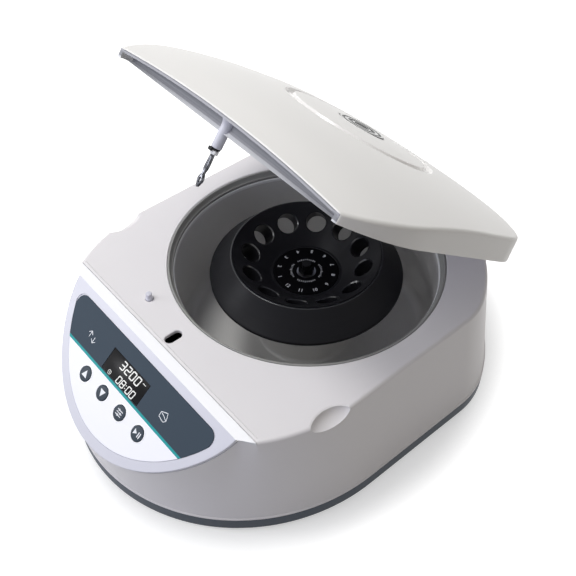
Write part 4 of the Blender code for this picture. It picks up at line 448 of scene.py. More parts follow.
# Finishes, each by its levels on a screen, its roughness, its bump and its shine
housing_white = grained("Housing white", (225, 222, 223), 0.42, 0.25, 0.35)
lid_white = grained("Lid white", (229, 227, 224), 0.36, 0.15, 0.35, grain_scale=SMOOTH)
# Copies of the lid's white: painted shade on its front and cove, painted light on the cove's foot, and a
# lighter, glossier painted highlight in the groove
lid_front_shade = grained("Lid front shade", (158, 158, 164), 0.36, 0.15, 0.35, grain_scale=SMOOTH)
lid_groove_highlight = grained("Lid groove highlight", (240, 238, 236), 0.26, 0.15, grain_scale=SMOOTH)
cove_shade = grained("Cove shade", (138, 139, 144), 0.4, 0.15, 0.3, grain_scale=SMOOTH)
cove_foot_light = grained("Cove foot light", (204, 205, 209), 0.36, 0.15, 0.35, grain_scale=SMOOTH)
fascia_white = grained("Fascia white", (206, 206, 216), 0.34, 0.2, 0.4)
# Plain white for the latch nut; on the panel's top strip and the rims round the keys its brightness is a
# painted highlight
white_and_strip_highlight = grained("White and strip highlight", (250, 250, 252), 0.25, 0.1)
overlay_slate = grained("Overlay slate", (62, 73, 84), 0.45, 0.12, 0.08, grain_scale=FILM)
overlay_pale = grained("Overlay pale", (243, 243, 251), 0.42, 0.1, 0.3, grain_scale=FILM)
overlay_teal = grained("Overlay teal", (30, 150, 152), 0.42, 0.1, 0.2, grain_scale=FILM)
print_white = grained("Printed white", (232, 234, 238), 0.5, 0.05)
print_grey = grained("Printed grey", (214, 216, 220), 0.5, 0.05)
digit_light = grained("Lit digits", (226, 226, 222), 0.5, 0.02, 0.1, glow=0.25)
window_black = grained("Display window", (16, 16, 18), 0.3, 0.02, 0.12)
key_slate = grained("Key slate", (52, 62, 72), 0.4, 0.1, 0.2)
base_grey = grained("Base grey", (64, 72, 82), 0.5, 0.4, 0.25, grain_scale=COARSE)
black_plastic = grained("Black plastic", (30, 31, 33), 0.5, 0.4, 0.2, grain_scale=COARSE)
rubber = grained("Rubber", (46, 46, 46), 0.75, 0.6, grain_scale=RUBBED, colour_drift=0.12)
seal_grey = grained("Seal grey", (144, 144, 141), 0.6, 0.3, 0.2, grain_scale=RUBBED)
board_green = grained("Board green", (30, 92, 58), 0.4, 0.2, colour_drift=0.3)
bowl_metal = spun("Spun bowl", (212, 211, 209), 0.44, 0.25, 0.3, metallic=0.16, line_scale=1500.0)
# The bowl's rolled bead, painted lighter than the bowl: a painted highlight
bead_highlight = spun("Bowl bead highlight", (232, 232, 232), 0.4, 0.1, line_scale=1500.0)
rotor_black = spun("Anodised rotor", (28, 28, 31), 0.36, 0.2, 0.08, line_scale=2600.0)
# The rotor's lip and hole rims: a lower roughness for a polished edge, and a lighter colour that is a painted
# highlight
rotor_edge_highlight = grained("Rotor edge highlight", (40, 41, 43), 0.24, 0.05, 0.55)
dial_black = grained("Dial black", (6, 6, 8), 0.6, 0.2, 0.04)
steel = grained("Ground steel", (176, 178, 182), 0.3, 0.3, metallic=1.0, colour_drift=0.2)
black_steel = grained("Blackened steel", (18, 18, 20), 0.4, 0.3, 0.15, colour_drift=0.3)
# Light and dark bands along the hook's steel are painted reflections
reflection_streaks = {"colour_drift": 3.2, "drift_scale": 420.0}
spring_steel = grained("Spring steel", (78, 79, 83), 0.18, 0.2, metallic=1.0, **reflection_streaks)
clouds = {"colour_drift": 0.9, "drift_scale": 120.0}
badge_silver = grained("Badge silver", (148, 148, 146), 0.25, 0.2, metallic=0.9, **clouds)
badge_dark = grained("Badge dark", (24, 25, 27), 0.35, 0.2, 0.3)


# Mesh helpers


def spread(start, end, steps):
    """Evenly spread values from start to end, both included."""
    return [start + (end - start) * i / steps for i in range(steps + 1)]


def arc(centre_x, centre_y, radius, start, end, steps=8):
    """Points along an arc, in the plane of a profile or an outline, with its angles in degrees."""
    turns = spread(math.radians(start), math.radians(end), steps)
    return [(centre_x + radius * math.cos(turn), centre_y + radius * math.sin(turn)) for turn in turns]


def put(name, data):
    """A new object in the scene."""
    made = bpy.data.objects.new(name, data)
    bpy.context.scene.collection.objects.link(made)
    return made


def as_mesh(bm, name):
    mesh = bpy.data.meshes.new(name)
    bm.to_mesh(mesh)
    bm.free()
    return mesh


def mended(bm):
    """The form with its doubles merged and its faces turned outwards."""
    bmesh.ops.remove_doubles(bm, verts=bm.verts, dist=WELD)
    bmesh.ops.dissolve_degenerate(bm, edges=bm.edges, dist=WELD)
    bmesh.ops.recalc_face_normals(bm, faces=bm.faces)
    return bm


def moved(bm, matrix):
    bmesh.ops.transform(bm, verts=bm.verts, matrix=matrix)
    return bm


def loft(rings, bm=None, ends=True, colour=0):
    """A skin pulled through rings of points that are as many in each, and closed at both ends."""
    bm = bm or bmesh.new()
    before = set(bm.faces)
    verts = [bm.verts.new(point) for point in rings[0]]
    first = [bm.edges.new(pair) for pair in zip(verts, verts[1:] + verts[:1])]
    edges = first
    for points in rings[1:]:
        pulled = bmesh.ops.extrude_edge_only(bm, edges=edges)["geom"]
        fresh = {item for item in pulled if isinstance(item, bmesh.types.BMVert)}
        edges = [item for item in pulled if isinstance(item, bmesh.types.BMEdge)]
        edges = [edge for edge in edges if fresh.issuperset(edge.verts)]
        following = []
        for vert, point in zip(verts, points):
            new = next(end for end in (edge.other_vert(vert) for edge in vert.link_edges) if end in fresh)
            new.co = point
            following.append(new)
        verts = following
    if ends:
        bmesh.ops.edgeloop_fill(bm, edges=first)
        bmesh.ops.edgeloop_fill(bm, edges=edges)
    for face in set(bm.faces) - before:
        face.material_index = colour
    return bm


def lathe(profile, steps=ROUND_STEPS, centre=(0, 0), closed=False, bm=None):
    """A profile of (radius, height) spun about the upright line through centre."""
    bm = bm or bmesh.new()
    verts = [bm.verts.new((centre[0] + radius, centre[1], z)) for radius, z in profile]
    pairs = list(zip(verts, verts[1:])) + ([(verts[-1], verts[0])] if closed else [])
    edges = [bm.edges.new(pair) for pair in pairs]
    turn = {"axis": (0, 0, 1), "angle": 2 * math.pi, "steps": steps}
    bmesh.ops.spin(bm, geom=verts + edges, cent=(*centre, 0), use_merge=True, **turn)
    return bm


def slab(outline, low, high, bm=None, colour=0):
    """A plate over an outline of (x, y), between two heights."""
    return loft([at_height(outline, z) for z in (low, high)], bm, colour=colour)


def along_x(section, reach):
    """A bar with a section of (y, z), as far as reach to either side."""
    return loft([[(x, y, z) for y, z in section] for x in (-reach, reach)])


def along_y(section, middle, reach):
    """A bar with a section of (x, z), as far as reach before and behind the middle."""
    return loft([[(x, middle + side * reach, z) for x, z in section] for side in SIDES])


def block(low, high, bm=None):
    bm = bm or bmesh.new()
    low, high = Vector(low), Vector(high)
    matrix = Matrix.Translation((low + high) / 2) @ Matrix.Diagonal((*(high - low), 1))
    bmesh.ops.create_cube(bm, size=1, matrix=matrix)
    return bm


def ellipsoid(side, centre, half_sizes):
    """A round cutter at one side of the machine."""
    bm = bmesh.new()
    bmesh.ops.create_uvsphere(bm, u_segments=HOLE_STEPS, v_segments=SMALL_STEPS, radius=1)
    x, y, z = centre
    return moved(bm, Matrix.Translation((side * x, y, z)) @ Matrix.Diagonal((*half_sizes, 1)))


def chamfered_cutter(outlines, low, chamfer):
    """A cutter through the deck whose mouth widens by the chamfer. outlines gives the outline at a growth."""
    levels = ((0.0, low), (0.0, -chamfer), (chamfer, 0.0), (chamfer, OVERRUN))
    return loft([at_height(outlines(grown), z) for grown, z in levels])


def rounded(bm, width, segments, least_turn):
    """The form with each edge rounded that turns by more than some degrees."""
    edges = [edge for edge in bm.edges if edge.calc_face_angle(0) > math.radians(least_turn)]
    shape = {"offset": width, "segments": segments, "profile": 0.5, "affect": "EDGES"}
    bmesh.ops.bevel(bm, geom=edges, clamp_overlap=True, material=-1, **shape)
    return bm


def softened(node, width):
    """A copy of a node's form whose sharp edges are rounded."""
    bm = bmesh.new()
    bm.from_mesh(frame["nodes"][node].data)
    bmesh.ops.remove_doubles(bm, verts=bm.verts, dist=NODE_WELD)
    bmesh.ops.dissolve_limit(bm, angle_limit=math.radians(2), verts=bm.verts, edges=bm.edges)
    return rounded(bm, width, 2, 30)


def carve(bm, *cutters):
    """The form with the cutters' forms cut out of it."""
    body, *others = [put("temporary", as_mesh(mended(form), "temporary")) for form in (bm, *cutters)]
    for other in others:
        modifier = body.modifiers.new("cut", "BOOLEAN")
        modifier.operation = "DIFFERENCE"
        modifier.solver = "EXACT"
        modifier.object = other
    result = bmesh.new()
    result.from_object(body, bpy.context.evaluated_depsgraph_get())
    for item in (body, *others):
        mesh = item.data
        bpy.data.objects.remove(item)
        bpy.data.meshes.remove(mesh)
    return result


def gather(forms):
    """One form from many."""
    whole = bmesh.new()
    for form in forms:
        mesh = as_mesh(form, "part")
        whole.from_mesh(mesh)
        bpy.data.meshes.remove(mesh)
    return whole


def lettering(words, size, depth):
    """Words as a flat solid about the origin."""
    curve = bpy.data.curves.new("words", "FONT")
    curve.body = words
    curve.size = size
    curve.extrude = depth
    curve.align_x = "CENTER"
    curve.align_y = "CENTER"
    curve.resolution_u = 3
    curve.offset = size * 0.01
    made = put("words", curve)
    bm = bmesh.new()
    mesh = bpy.data.meshes.new_from_object(made, depsgraph=bpy.context.evaluated_depsgraph_get())
    bm.from_mesh(mesh)
    bpy.data.meshes.remove(mesh)
    bpy.data.objects.remove(made)
    bpy.data.curves.remove(curve)
    return bm


def paint(bm, colour, chosen):
    """Gives a finish to the faces that are chosen by their middle and their normal."""
    for face in bm.faces:
        if chosen(face.calc_center_median(), face.normal):
            face.material_index = colour
    return bm


def add_piece(name, bm, finishes, body, stands_for=None, place=None):
    """A finished piece that rides on a body and may stand for a node of the frame."""
    if place:
        moved(bm, place)
    mesh = as_mesh(mended(bm), name)
    for finish in finishes if isinstance(finishes, tuple) else (finishes,):
        mesh.materials.append(finish)
    mesh.shade_smooth()
    mesh.set_sharp_from_angle(angle=SHARP)
    piece = put(name, mesh)
    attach(piece, body)
    if stands_for:
        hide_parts(stands_for)


def node_place(node):
    """The lowest and the highest corner of a node's box, and its middle from above."""
    low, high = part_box(node)
    return low, high, ((low.x + high.x) / 2, (low.y + high.y) / 2)


# Outlines


def mirrored(points):
    """The whole ring from its right half, which ends, and may start, on the middle line."""
    left = [(-point[0], *point[1:]) for point in reversed(points[:-1]) if abs(point[0]) > GAP / 2]
    return list(points) + left


def at_height(points, z):
    return [(x, y, z) for x, y in points]


def round_outline(radius, steps=HOLE_STEPS, centre=(0, 0)):
    return arc(*centre, radius, 0, 360, steps)[:-1]


def slot_outline(half_width, low_y, high_y, grown=0.0):
    """A slot along Y with round ends."""
    radius = half_width + grown
    far = arc(0, high_y - half_width, radius, 0, 180, HOLE_STEPS // 2)
    return far + arc(0, low_y + half_width, radius, 180, 360, HOLE_STEPS // 2)


def box_outline(low, high, grown=0.0):
    (x0, y0), (x1, y1) = low, high
    left, right, front, rear = x0 - grown, x1 + grown, y0 - grown, y1 + grown
    return [(left, front), (right, front), (right, rear), (left, rear)]


def window_outline(corners, grown=0.0):
    """An opening in the panel's plane, from its corners in x and distance down the slope."""
    (left, top), (right, bottom) = corners
    return box_outline((left, -bottom), (right, -top), grown)


def blend_centre(half_width, rear_radius, blend_radius):
    """The centre of the bend between the outline's straight side and its round rear."""
    x = half_width - blend_radius
    return x, math.sqrt((rear_radius - blend_radius) ** 2 - x**2)


def rear_half(half_width, rear_radius, blend_radius, side_start_y):
    """The outline's right side, from behind the start of its straight stretch to the rear middle."""
    x, y = blend_centre(half_width, rear_radius, blend_radius)
    meeting = math.degrees(math.atan2(y, x))
    side = [(half_width, place) for place in spread(side_start_y, y, SIDE_STEPS)[1:-1]]
    bend = arc(x, y, blend_radius, 0, meeting, BLEND_STEPS)
    return side + bend + arc(0, 0, rear_radius, meeting, 90, REAR_STEPS)[1:]


def deck_half(inset=0.0, front_y=DECK_FRONT_Y):
    """The right half of the deck's outline, from its front corner to the rear middle."""
    radius = DECK_HALF_WIDTH - inset
    start = math.degrees(math.acos((DECK_FLANK_CENTRE_Y - front_y) / radius)) - 90
    flank = arc(0, DECK_FLANK_CENTRE_Y, radius, start, 0, FLANK_STEPS)
    return flank + rear_half(radius, DECK_REAR_RADIUS - inset, DECK_BLEND_RADIUS - inset, DECK_FLANK_CENTRE_Y)


def base_half(inset=0.0):
    """The right half of the base's outline, from the front middle to the rear middle."""
    half_width, depth = BASE_HALF_WIDTH - inset, BASE_FRONT_DEPTH - inset
    turns = spread(0, PANEL_END_TURN, PANEL_STEPS) + [LEDGE_END_TURN]
    turns += spread(CORNER_TURN, QUARTER, FLANK_STEPS)
    front = [(half_width * math.sin(turn), BASE_FLANK_CENTRE_Y - depth * math.cos(turn)) for turn in turns]
    rear = rear_half(half_width, BASE_REAR_RADIUS - inset, BASE_BLEND_RADIUS - inset, BASE_FLANK_CENTRE_Y)
    return front + rear


def slope_place(x, down, height=0.0):
    """A point by its distance down the front panel's plane and its height over it."""
    y = STRIP_FRONT_Y - down * math.cos(PANEL_SLOPE) - height * math.sin(PANEL_SLOPE)
    z = -STRIP_DROP - down * math.sin(PANEL_SLOPE) + height * math.cos(PANEL_SLOPE)
    return (x, y, z)


def panel_arc(half_width, length):
    """The right half of the panel's lower arc as (x, distance down the slope)."""
    points = []
    for turn in spread(0, QUARTER, PANEL_STEPS):
        points.append((half_width * math.sin(turn), length * max(math.cos(turn), 0.0) ** ARC_POWER))
    return points


# Housing and base


def between(start, end, steps):
    """The rings from one ring to another, point by point, without the first."""
    rings = []
    for share in spread(0, 1, steps)[1:]:
        rings.append([tuple(Vector(a).lerp(Vector(b), share)) for a, b in zip(start, end)])
    return rings


def housing_form(inset, top, seat_height, fillet):
    """The housing's closed form, or its hollow's: flared walls, flat deck and the sloped panel's seat."""
    floor = -HOUSING_HEIGHT - OVERRUN if inset else BASE_TOP + GAP
    lower = panel_arc(PANEL_HALF_WIDTH - inset, PANEL_LENGTH - inset)
    seat = [slope_place(x, down, seat_height) for x, down in lower]
    front_y = DECK_FRONT_Y + inset
    seat.append((deck_half(inset, front_y)[0][0], front_y, seat_height))

    def ring(extra, z):
        return mirrored(seat + at_height(deck_half(inset + extra, front_y), z))

    base = mirrored(at_height(base_half(inset), floor))
    rings = [base]
    if not inset:
        rings += [mirrored(at_height(base_half(step_in), floor + rise)) for step_in, rise in WALL_FOOT]
    foot = len(rings)
    rings += between(rings[-1], ring(0.0, top - fillet), WALL_STEPS)
    if fillet:
        edge = arc(fillet, top - fillet, fillet, 180, 90, FILLET_STEPS)[1:]
        rings += [ring(extra, z) for extra, z in edge]
        rings.append(ring(fillet + SUPPORT, top))
    bm = loft(rings, ends=False)
    bm.verts.ensure_lookup_table()
    if not inset:
        ease_creases(bm, bm.verts[foot * len(base) : (foot + WALL_STEPS - 1) * len(base)])
    bm.faces.new(bm.verts[: len(base)])
    last = bm.verts[-len(base) :]
    fixed = len(seat)
    left_corner = len(last) - fixed
    bm.faces.new(last[fixed : left_corner + 1])
    for i, j in ((fixed - 1, left_corner), (fixed - 2, left_corner + 1)):
        bm.faces.new([last[k] for k in (i, i + 1, j, j + 1)])
    bm.faces.new(last[left_corner + 2 :] + last[: fixed - 1])
    return bm


def ease_creases(bm, wall):
    """Softens the creases that run down the wall from the ends of the strip."""
    least_x, most_y = CREASE_PLACE
    near = [vert for vert in wall if abs(vert.co.x) > least_x and vert.co.y < most_y]
    for _ in range(CREASE_PASSES):
        bmesh.ops.smooth_vert(bm, verts=near, factor=0.5, use_axis_x=True, use_axis_y=True)


def scoops(grown=0.0):
    sizes = [size + grown for size in SCOOP_HALF_SIZES]
    return [ellipsoid(side, SCOOP_CENTRE, sizes) for side in SIDES]


def scoop_rims():
    """The shallow dishes that soften the scoops' edges."""
    (x, y, _), (long, wide, _) = SCOOP_CENTRE, SCOOP_HALF_SIZES
    sizes = (long + SCOOP_RIM, wide + SCOOP_RIM, SCOOP_RIM_DEPTH)
    return [ellipsoid(side, (x, y, 0), sizes) for side in SIDES]


def deck_openings():
    low = -DECK_THICKNESS - OVERRUN

    def chamber(grown):
        return round_outline(CHAMBER_RADIUS + GAP + grown, ROUND_STEPS)

    def peg(grown):
        return round_outline(PEG_RADIUS + GAP + grown, HOLE_STEPS, PEG)

    cutters = [chamfered_cutter(chamber, CHAMBER_CUT, SLOT_CHAMFER)]
    cutters.append(chamfered_cutter(lambda grown: slot_outline(*LATCH_SLOT, grown), low, SLOT_CHAMFER))
    cutters.append(chamfered_cutter(peg, low, SLOT_CHAMFER / 2))
    cutters += scoops() + scoop_rims()
    for side in SIDES:
        middle = side * HINGE_SLOT_X
        corners = [(middle + end * HINGE_SLOT_HALF, y) for end, y in zip(SIDES, HINGE_SLOT_Y)]
        cutters.append(chamfered_cutter(lambda grown: box_outline(*corners, grown), low, SLOT_CHAMFER))
    return cutters


def make_housing():
    seat = -PANEL_THICKNESS - GAP
    rear_frame = moved(block(*REAR_FRAME), REAR_ON_DECK)
    hollow = housing_form(WALL, -DECK_THICKNESS, seat - PANEL_SEAT_WALL, 0.0)
    cutters = [carve(hollow, *scoops(WALL), rear_frame), *deck_openings()]
    window = slab(window_outline(BOARD_WINDOW), PANEL_CUT - PANEL_THICKNESS, -PANEL_THICKNESS + OVERRUN)
    cutters.append(moved(window, PANEL_ON_DECK))
    cutters += [moved(block(*corners), REAR_ON_DECK) for corners in (REAR_POCKET, REAR_WAY)]
    seam_y, half = DECK_FRONT_Y + SEAM_BACK, SEAM_WIDTH / 2
    seam = [(seam_y - half, half / 2), (seam_y, -SEAM_WIDTH), (seam_y + half, half / 2)]
    corner_x = deck_half()[0][0]
    cutters.append(along_x(seam, corner_x - DECK_FILLET))
    front, radius = DECK_FRONT_Y - GAP, DECK_FRONT_ROUND
    back = DECK_FRONT_Y + radius
    edge = [(front, OVERRUN), (front, -radius)] + arc(back, -radius, radius, 180, 90, FILLET_STEPS)
    cutters.append(along_x(edge + [(back, OVERRUN)], corner_x + GAP))
    housing = carve(housing_form(0.0, 0.0, seat, DECK_FILLET), *cutters)
    add_piece("housing", housing, housing_white, "base", "upper_housing", DECK)


def make_base():
    top, bottom = BASE_TOP, -HOUSING_HEIGHT - BASE_RIM_HEIGHT - BASE_DROP
    fillet, wall, floor, edge = BASE_FILLET, BASE_WALL, bottom + BASE_DROP + BASE_WALL, 0.0004
    levels = [(fillet + SUPPORT, bottom)] + arc(fillet, bottom + fillet, fillet, -90, -180, FILLET_STEPS)
    levels += [(0.0, top - edge), (edge, top), (wall, top), (wall, floor), (wall + SUPPORT, floor)]
    tray = loft([mirrored(at_height(base_half(inset), z)) for inset, z in levels])
    low, high = bottom - OVERRUN, floor - SUPPORT / 4
    sink = [(0, low), (SINK_RADIUS, low), (SINK_RADIUS, high), (0, high)]
    sinks = []
    for number in range(1, 5):
        x, y = node_place(f"housing_screw_{number}")[2]
        sinks.append(lathe(sink, HOLE_STEPS, (x, y - AXIS_Y)))
    add_piece("base", carve(tray, *sinks), base_grey, "base", "base_tray", DECK)


def make_feet():
    """Rubber feet with two rings of grip."""
    groove, edge, round_off, neck = 0.0006, 0.0078, 0.0022, 0.0030
    seat = FOOT_HEIGHT - GAP
    for end in ("front", "rear"):
        for side in ("left", "right"):
            name = f"foot_{end}_{side}"
            low, high, centre = node_place(name)
            profile = [(0, groove), (neck, groove), (0.0034, 0), (0.0046, 0)]
            profile += [(0.0050, groove), (0.0058, groove), (0.0062, 0), (edge, 0)]
            profile += arc(edge, round_off, round_off, -90, 0, FILLET_STEPS)
            profile += [((high.x - low.x) / 2, seat), (neck, seat), (neck, high.z), (0, high.z)]
            add_piece(name + "_pad", lathe(profile, HOLE_STEPS, centre), rubber, "base", name)


def make_screws():
    """Round-headed screws with a cross recess."""
    flat, round_off, height, core = 0.0024, 0.0009, 0.0025, 0.0015
    depth, narrow, long = 0.0013, 0.0004, 0.0017
    for number in range(1, 5):
        node = f"housing_screw_{number}"
        low, high, (x, y) = node_place(node)
        head = low.z + height
        profile = [(0, low.z), (flat, low.z)] + arc(flat, low.z + round_off, round_off, -90, 0, 4)
        profile += [(flat + round_off, head), (core, head), (core, high.z), (0, high.z)]
        arms = []
        for across, along in ((narrow, long), (long, narrow)):
            deepest = (x + across, y + along, low.z + depth)
            arms.append(block((x - across, y - along, low.z - OVERRUN), deepest))
        screw = carve(lathe(profile, SMALL_STEPS, (x, y)), *arms)
        add_piece(f"screw_{number}", screw, steel, "base", node)


# Front panel


def overlay_outline(inset=0.0):
    """The overlay's outline in the panel's plane."""
    lower = panel_arc(OVERLAY_HALF_WIDTH - inset, OVERLAY_LENGTH - inset)
    bend = OVERLAY_TOP + inset + OVERLAY_CORNER
    kept = [(x, -down) for x, down in lower if down > bend]
    half = kept + arc(kept[-1][0] - OVERLAY_CORNER, -bend, OVERLAY_CORNER, 0, 90, CORNER_STEPS * 2)
    return half + [(-x, y) for x, y in reversed(half[1:])]


def panel_cutters():
    """The display's and the keys' openings, in the panel's own plane."""
    outlines = [window_outline(DISPLAY_CORNERS, GAP)]
    outlines += [round_outline(KEY_RADIUS + GAP, HOLE_STEPS, (x, -KEY_ROW)) for x in KEYS.values()]
    return [slab(outline, PANEL_CUT, OVERRUN) for outline in outlines]


def make_fascia():
    back_y = DECK_FRONT_Y - GAP
    corner_x = deck_half()[0][0]
    levels = [(PANEL_EDGE + SUPPORT, 0.0)]
    for turn in spread(QUARTER, 0, 4):
        inset = PANEL_INSET + (PANEL_EDGE - PANEL_INSET) * (1 - math.cos(turn))
        levels.append((inset, PANEL_EDGE * (math.sin(turn) - 1)))
    levels.append((PANEL_INSET, -PANEL_THICKNESS))
    rings = []
    for inset, height in levels:
        lower = panel_arc(PANEL_HALF_WIDTH - inset, PANEL_LENGTH - inset)
        half = [slope_place(x, down, height) for x, down in lower]
        half.append((corner_x - inset, back_y - min(inset, SUPPORT) / 2, height))
        rings.append(half + [(-x, y, z) for x, y, z in reversed(half[1:])])
    bm = loft(rings, ends=False)
    bm.verts.ensure_lookup_table()
    count, end = len(rings[0]), PANEL_STEPS
    for ring in (bm.verts[:count], bm.verts[-count:]):
        bm.faces.new(ring[end : end + 4])
        bm.faces.new(ring[end + 3 :] + ring[: end + 1])
    # The top strip gets the brighter white, a painted highlight
    paint(bm, 1, lambda place, normal: place.y > STRIP_FRONT_Y)
    seat = slab(overlay_outline(-GAP), OVERLAY_PROUD - OVERLAY_THICKNESS - GAP, OVERRUN)
    bm = carve(bm, *[moved(cutter, PANEL_ON_DECK) for cutter in (seat, *panel_cutters())])
    add_piece("fascia", bm, (fascia_white, white_and_strip_highlight), "base", "front_fascia", DECK)


def make_overlay():
    high = OVERLAY_PROUD
    levels = ((0.0, high - OVERLAY_THICKNESS), (0.0, high - OVERLAY_EDGE), (OVERLAY_EDGE, high))
    bm = carve(loft([at_height(overlay_outline(inset), z) for inset, z in levels]), *panel_cutters())
    for down in (STRIPE_TOP, STRIPE_BOTTOM):
        whole = [*bm.verts, *bm.edges, *bm.faces]
        bmesh.ops.bisect_plane(bm, geom=whole, plane_co=(0, -down, 0), plane_no=(0, 1, 0))
    paint(bm, 0, lambda place, normal: True)
    paint(bm, 1, lambda place, normal: -place.y >= STRIPE_TOP)
    paint(bm, 2, lambda place, normal: -place.y >= STRIPE_BOTTOM)
    finishes = (overlay_slate, overlay_teal, overlay_pale)
    add_piece("overlay", bm, finishes, "base", "control_overlay", PANEL)

    rims = bmesh.new()
    rim_top = high + 0.00025
    profile = ((0.0064, high), (0.0065, rim_top), (0.0071, rim_top), (0.0074, high))
    for x in KEYS.values():
        lathe(profile, HOLE_STEPS, (x, -KEY_ROW), closed=True, bm=rims)
    # The rims are painted a brighter white than the overlay, a painted highlight
    add_piece("key_rims", rims, white_and_strip_highlight, "base", place=PANEL)


def bar(start, end, width, bm, low=OVERLAY_PROUD, colour=0):
    """A printed line between two points."""
    start, end = Vector(start), Vector(end)
    along = (end - start).normalized() * (width / 2)
    across = Vector((-along.y, along.x))
    outline = [start - along, start + across, end + across, end + along, end - across, start - across]
    slab(outline, low, low + PRINT, bm, colour)


def polyline(points, width, bm):
    for start, end in zip(points, points[1:]):
        bar(start, end, width, bm)


def figures(words, left, bottom, width, pitch, bm):
    """Seven-segment figures along the display, leaning a little."""
    for i, figure in enumerate(words):
        cell = left + i * pitch
        for stroke in FIGURES[figure]:
            ends = []
            for x, y in SEGMENTS[stroke]:
                ends.append((cell + (x + FIGURE_LEAN * y) * width, bottom + y * width * FIGURE_RISE))
            bar(*ends, width * FIGURE_STROKE, bm)


def make_display():
    outline, high = window_outline(DISPLAY_CORNERS), OVERLAY_PROUD
    rings = [at_height(outline, z) for z in (high - DISPLAY_THICKNESS, high - DISPLAY_EDGE / 2)]
    rings.append(at_height(window_outline(DISPLAY_CORNERS, -DISPLAY_EDGE), high))
    add_piece("display_glass", loft(rings), window_black, "base", "display_window", PANEL)
    lit = bmesh.new()
    figures("3200", -0.0152, -0.0277, 0.0042, 0.0064, lit)
    for words, left in (("08", -0.0108), ("00", 0.0020)):
        figures(words, left, -0.0378, 0.0036, 0.0052, lit)
    for y in (-0.0335, -0.0360):
        slab(round_outline(0.0005, DOT_STEPS, (0.0003, y)), high, high + PRINT, lit)
    clock = round_outline(0.0017, DOT_STEPS, (-0.0205, -0.0362))
    hands = ((-0.0205, -0.0352), (-0.0205, -0.0362), (-0.0197, -0.0366))
    for points in (clock + clock[:1], hands):
        polyline(points, 0.0004, lit)
    polyline(((0.0118, -0.0222), (0.0150, -0.0222)), ICON_STROKE, lit)
    add_piece("lit_figures", lit, digit_light, "base", place=PANEL)


def make_icons():
    """Two arrows at the left of the display, and an open box at its right."""
    lines = (
        ((-0.0600, -0.0262), (-0.0575, -0.0240), (-0.0550, -0.0262)),
        ((-0.0540, -0.0290), (-0.0515, -0.0312), (-0.0490, -0.0290)),
        ((-0.0575, -0.0240), (-0.0575, -0.0290)),
        ((-0.0515, -0.0262), (-0.0515, -0.0312)),
        ((0.0400, -0.0300), (0.0395, -0.0262), (0.0455, -0.0236), (0.0480, -0.0290)),
        ((0.0480, -0.0290), (0.0460, -0.0312), (0.0400, -0.0300)),
        ((0.0395, -0.0262), (0.0440, -0.0275), (0.0480, -0.0290)),
    )
    marks = bmesh.new()
    for points in lines:
        polyline(points, ICON_STROKE, marks)
    add_piece("panel_icons", marks, print_white, "base", place=PANEL)


def key_symbol(name, bm):
    """The symbol on a key, about the key's own centre."""
    top = KEY_PROUD
    if name in ("key_up", "key_down"):
        rise = 1 if name == "key_up" else -1
        corners = [(0.0, 0.0033 * rise), (-0.0030, -0.0024 * rise), (0.0030, -0.0024 * rise)]
        slab(corners, top, top + PRINT, bm, 1)
    elif name == "key_set":
        for y, knob in ((0.0020, -0.0012), (0.0, 0.0014), (-0.0020, -0.0004)):
            bar((-0.0030, y), (0.0030, y), 0.0006, bm, top, 1)
            slab(round_outline(0.0009, DOT_STEPS, (knob, y)), top, top + PRINT, bm, 1)
    else:
        slab([(-0.0036, 0.0024), (-0.0036, -0.0024), (-0.0002, 0.0)], top, top + PRINT, bm, 1)
        for x in (0.0014, 0.0032):
            bar((x, 0.0020), (x, -0.0020), 0.0009, bm, top, 1)


def make_keys():
    (flange, thickness), (stem, stem_low) = KEY_FLANGE, KEY_STEM
    flange_top = -PANEL_THICKNESS - GAP
    flange_low = flange_top - thickness
    profile = [(0, KEY_PROUD - KEY_DISH)]
    profile += arc(KEY_RADIUS - KEY_ROUND, KEY_PROUD - KEY_ROUND, KEY_ROUND, 90, 0, 4)
    profile += [(KEY_RADIUS, flange_top), (flange, flange_top), (flange, flange_low)]
    profile += [(stem, flange_low), (stem, stem_low), (0, stem_low)]
    for name, x in KEYS.items():
        bm = lathe(profile, HOLE_STEPS)
        key_symbol(name, bm)
        place = PANEL @ Matrix.Translation((x, -KEY_ROW, 0))
        add_piece(name + "_cap", bm, (key_slate, print_white), name, name, place)


# Chamber


def make_seal():
    inner, outer = CHAMBER_RADIUS - SEAL_WIDTH, CHAMBER_RADIUS
    edge, lip = 0.0005, 0.0006
    profile = [(outer, SEAL_LOW), (outer, -edge)] + arc(outer - edge, -edge, edge, 0, 90, 3)
    profile += arc(outer - 2 * lip, -lip, lip, 90, 170, 4)
    profile += [(inner + 0.0012, -0.0043), (inner + 0.0010, -0.0046), (inner + 0.0002, -0.0052)]
    profile += [(inner, -0.0058), (inner, SEAL_LOW)]
    add_piece("seal", lathe(profile, closed=True), seal_grey, "base", "chamber_gasket", DECK)


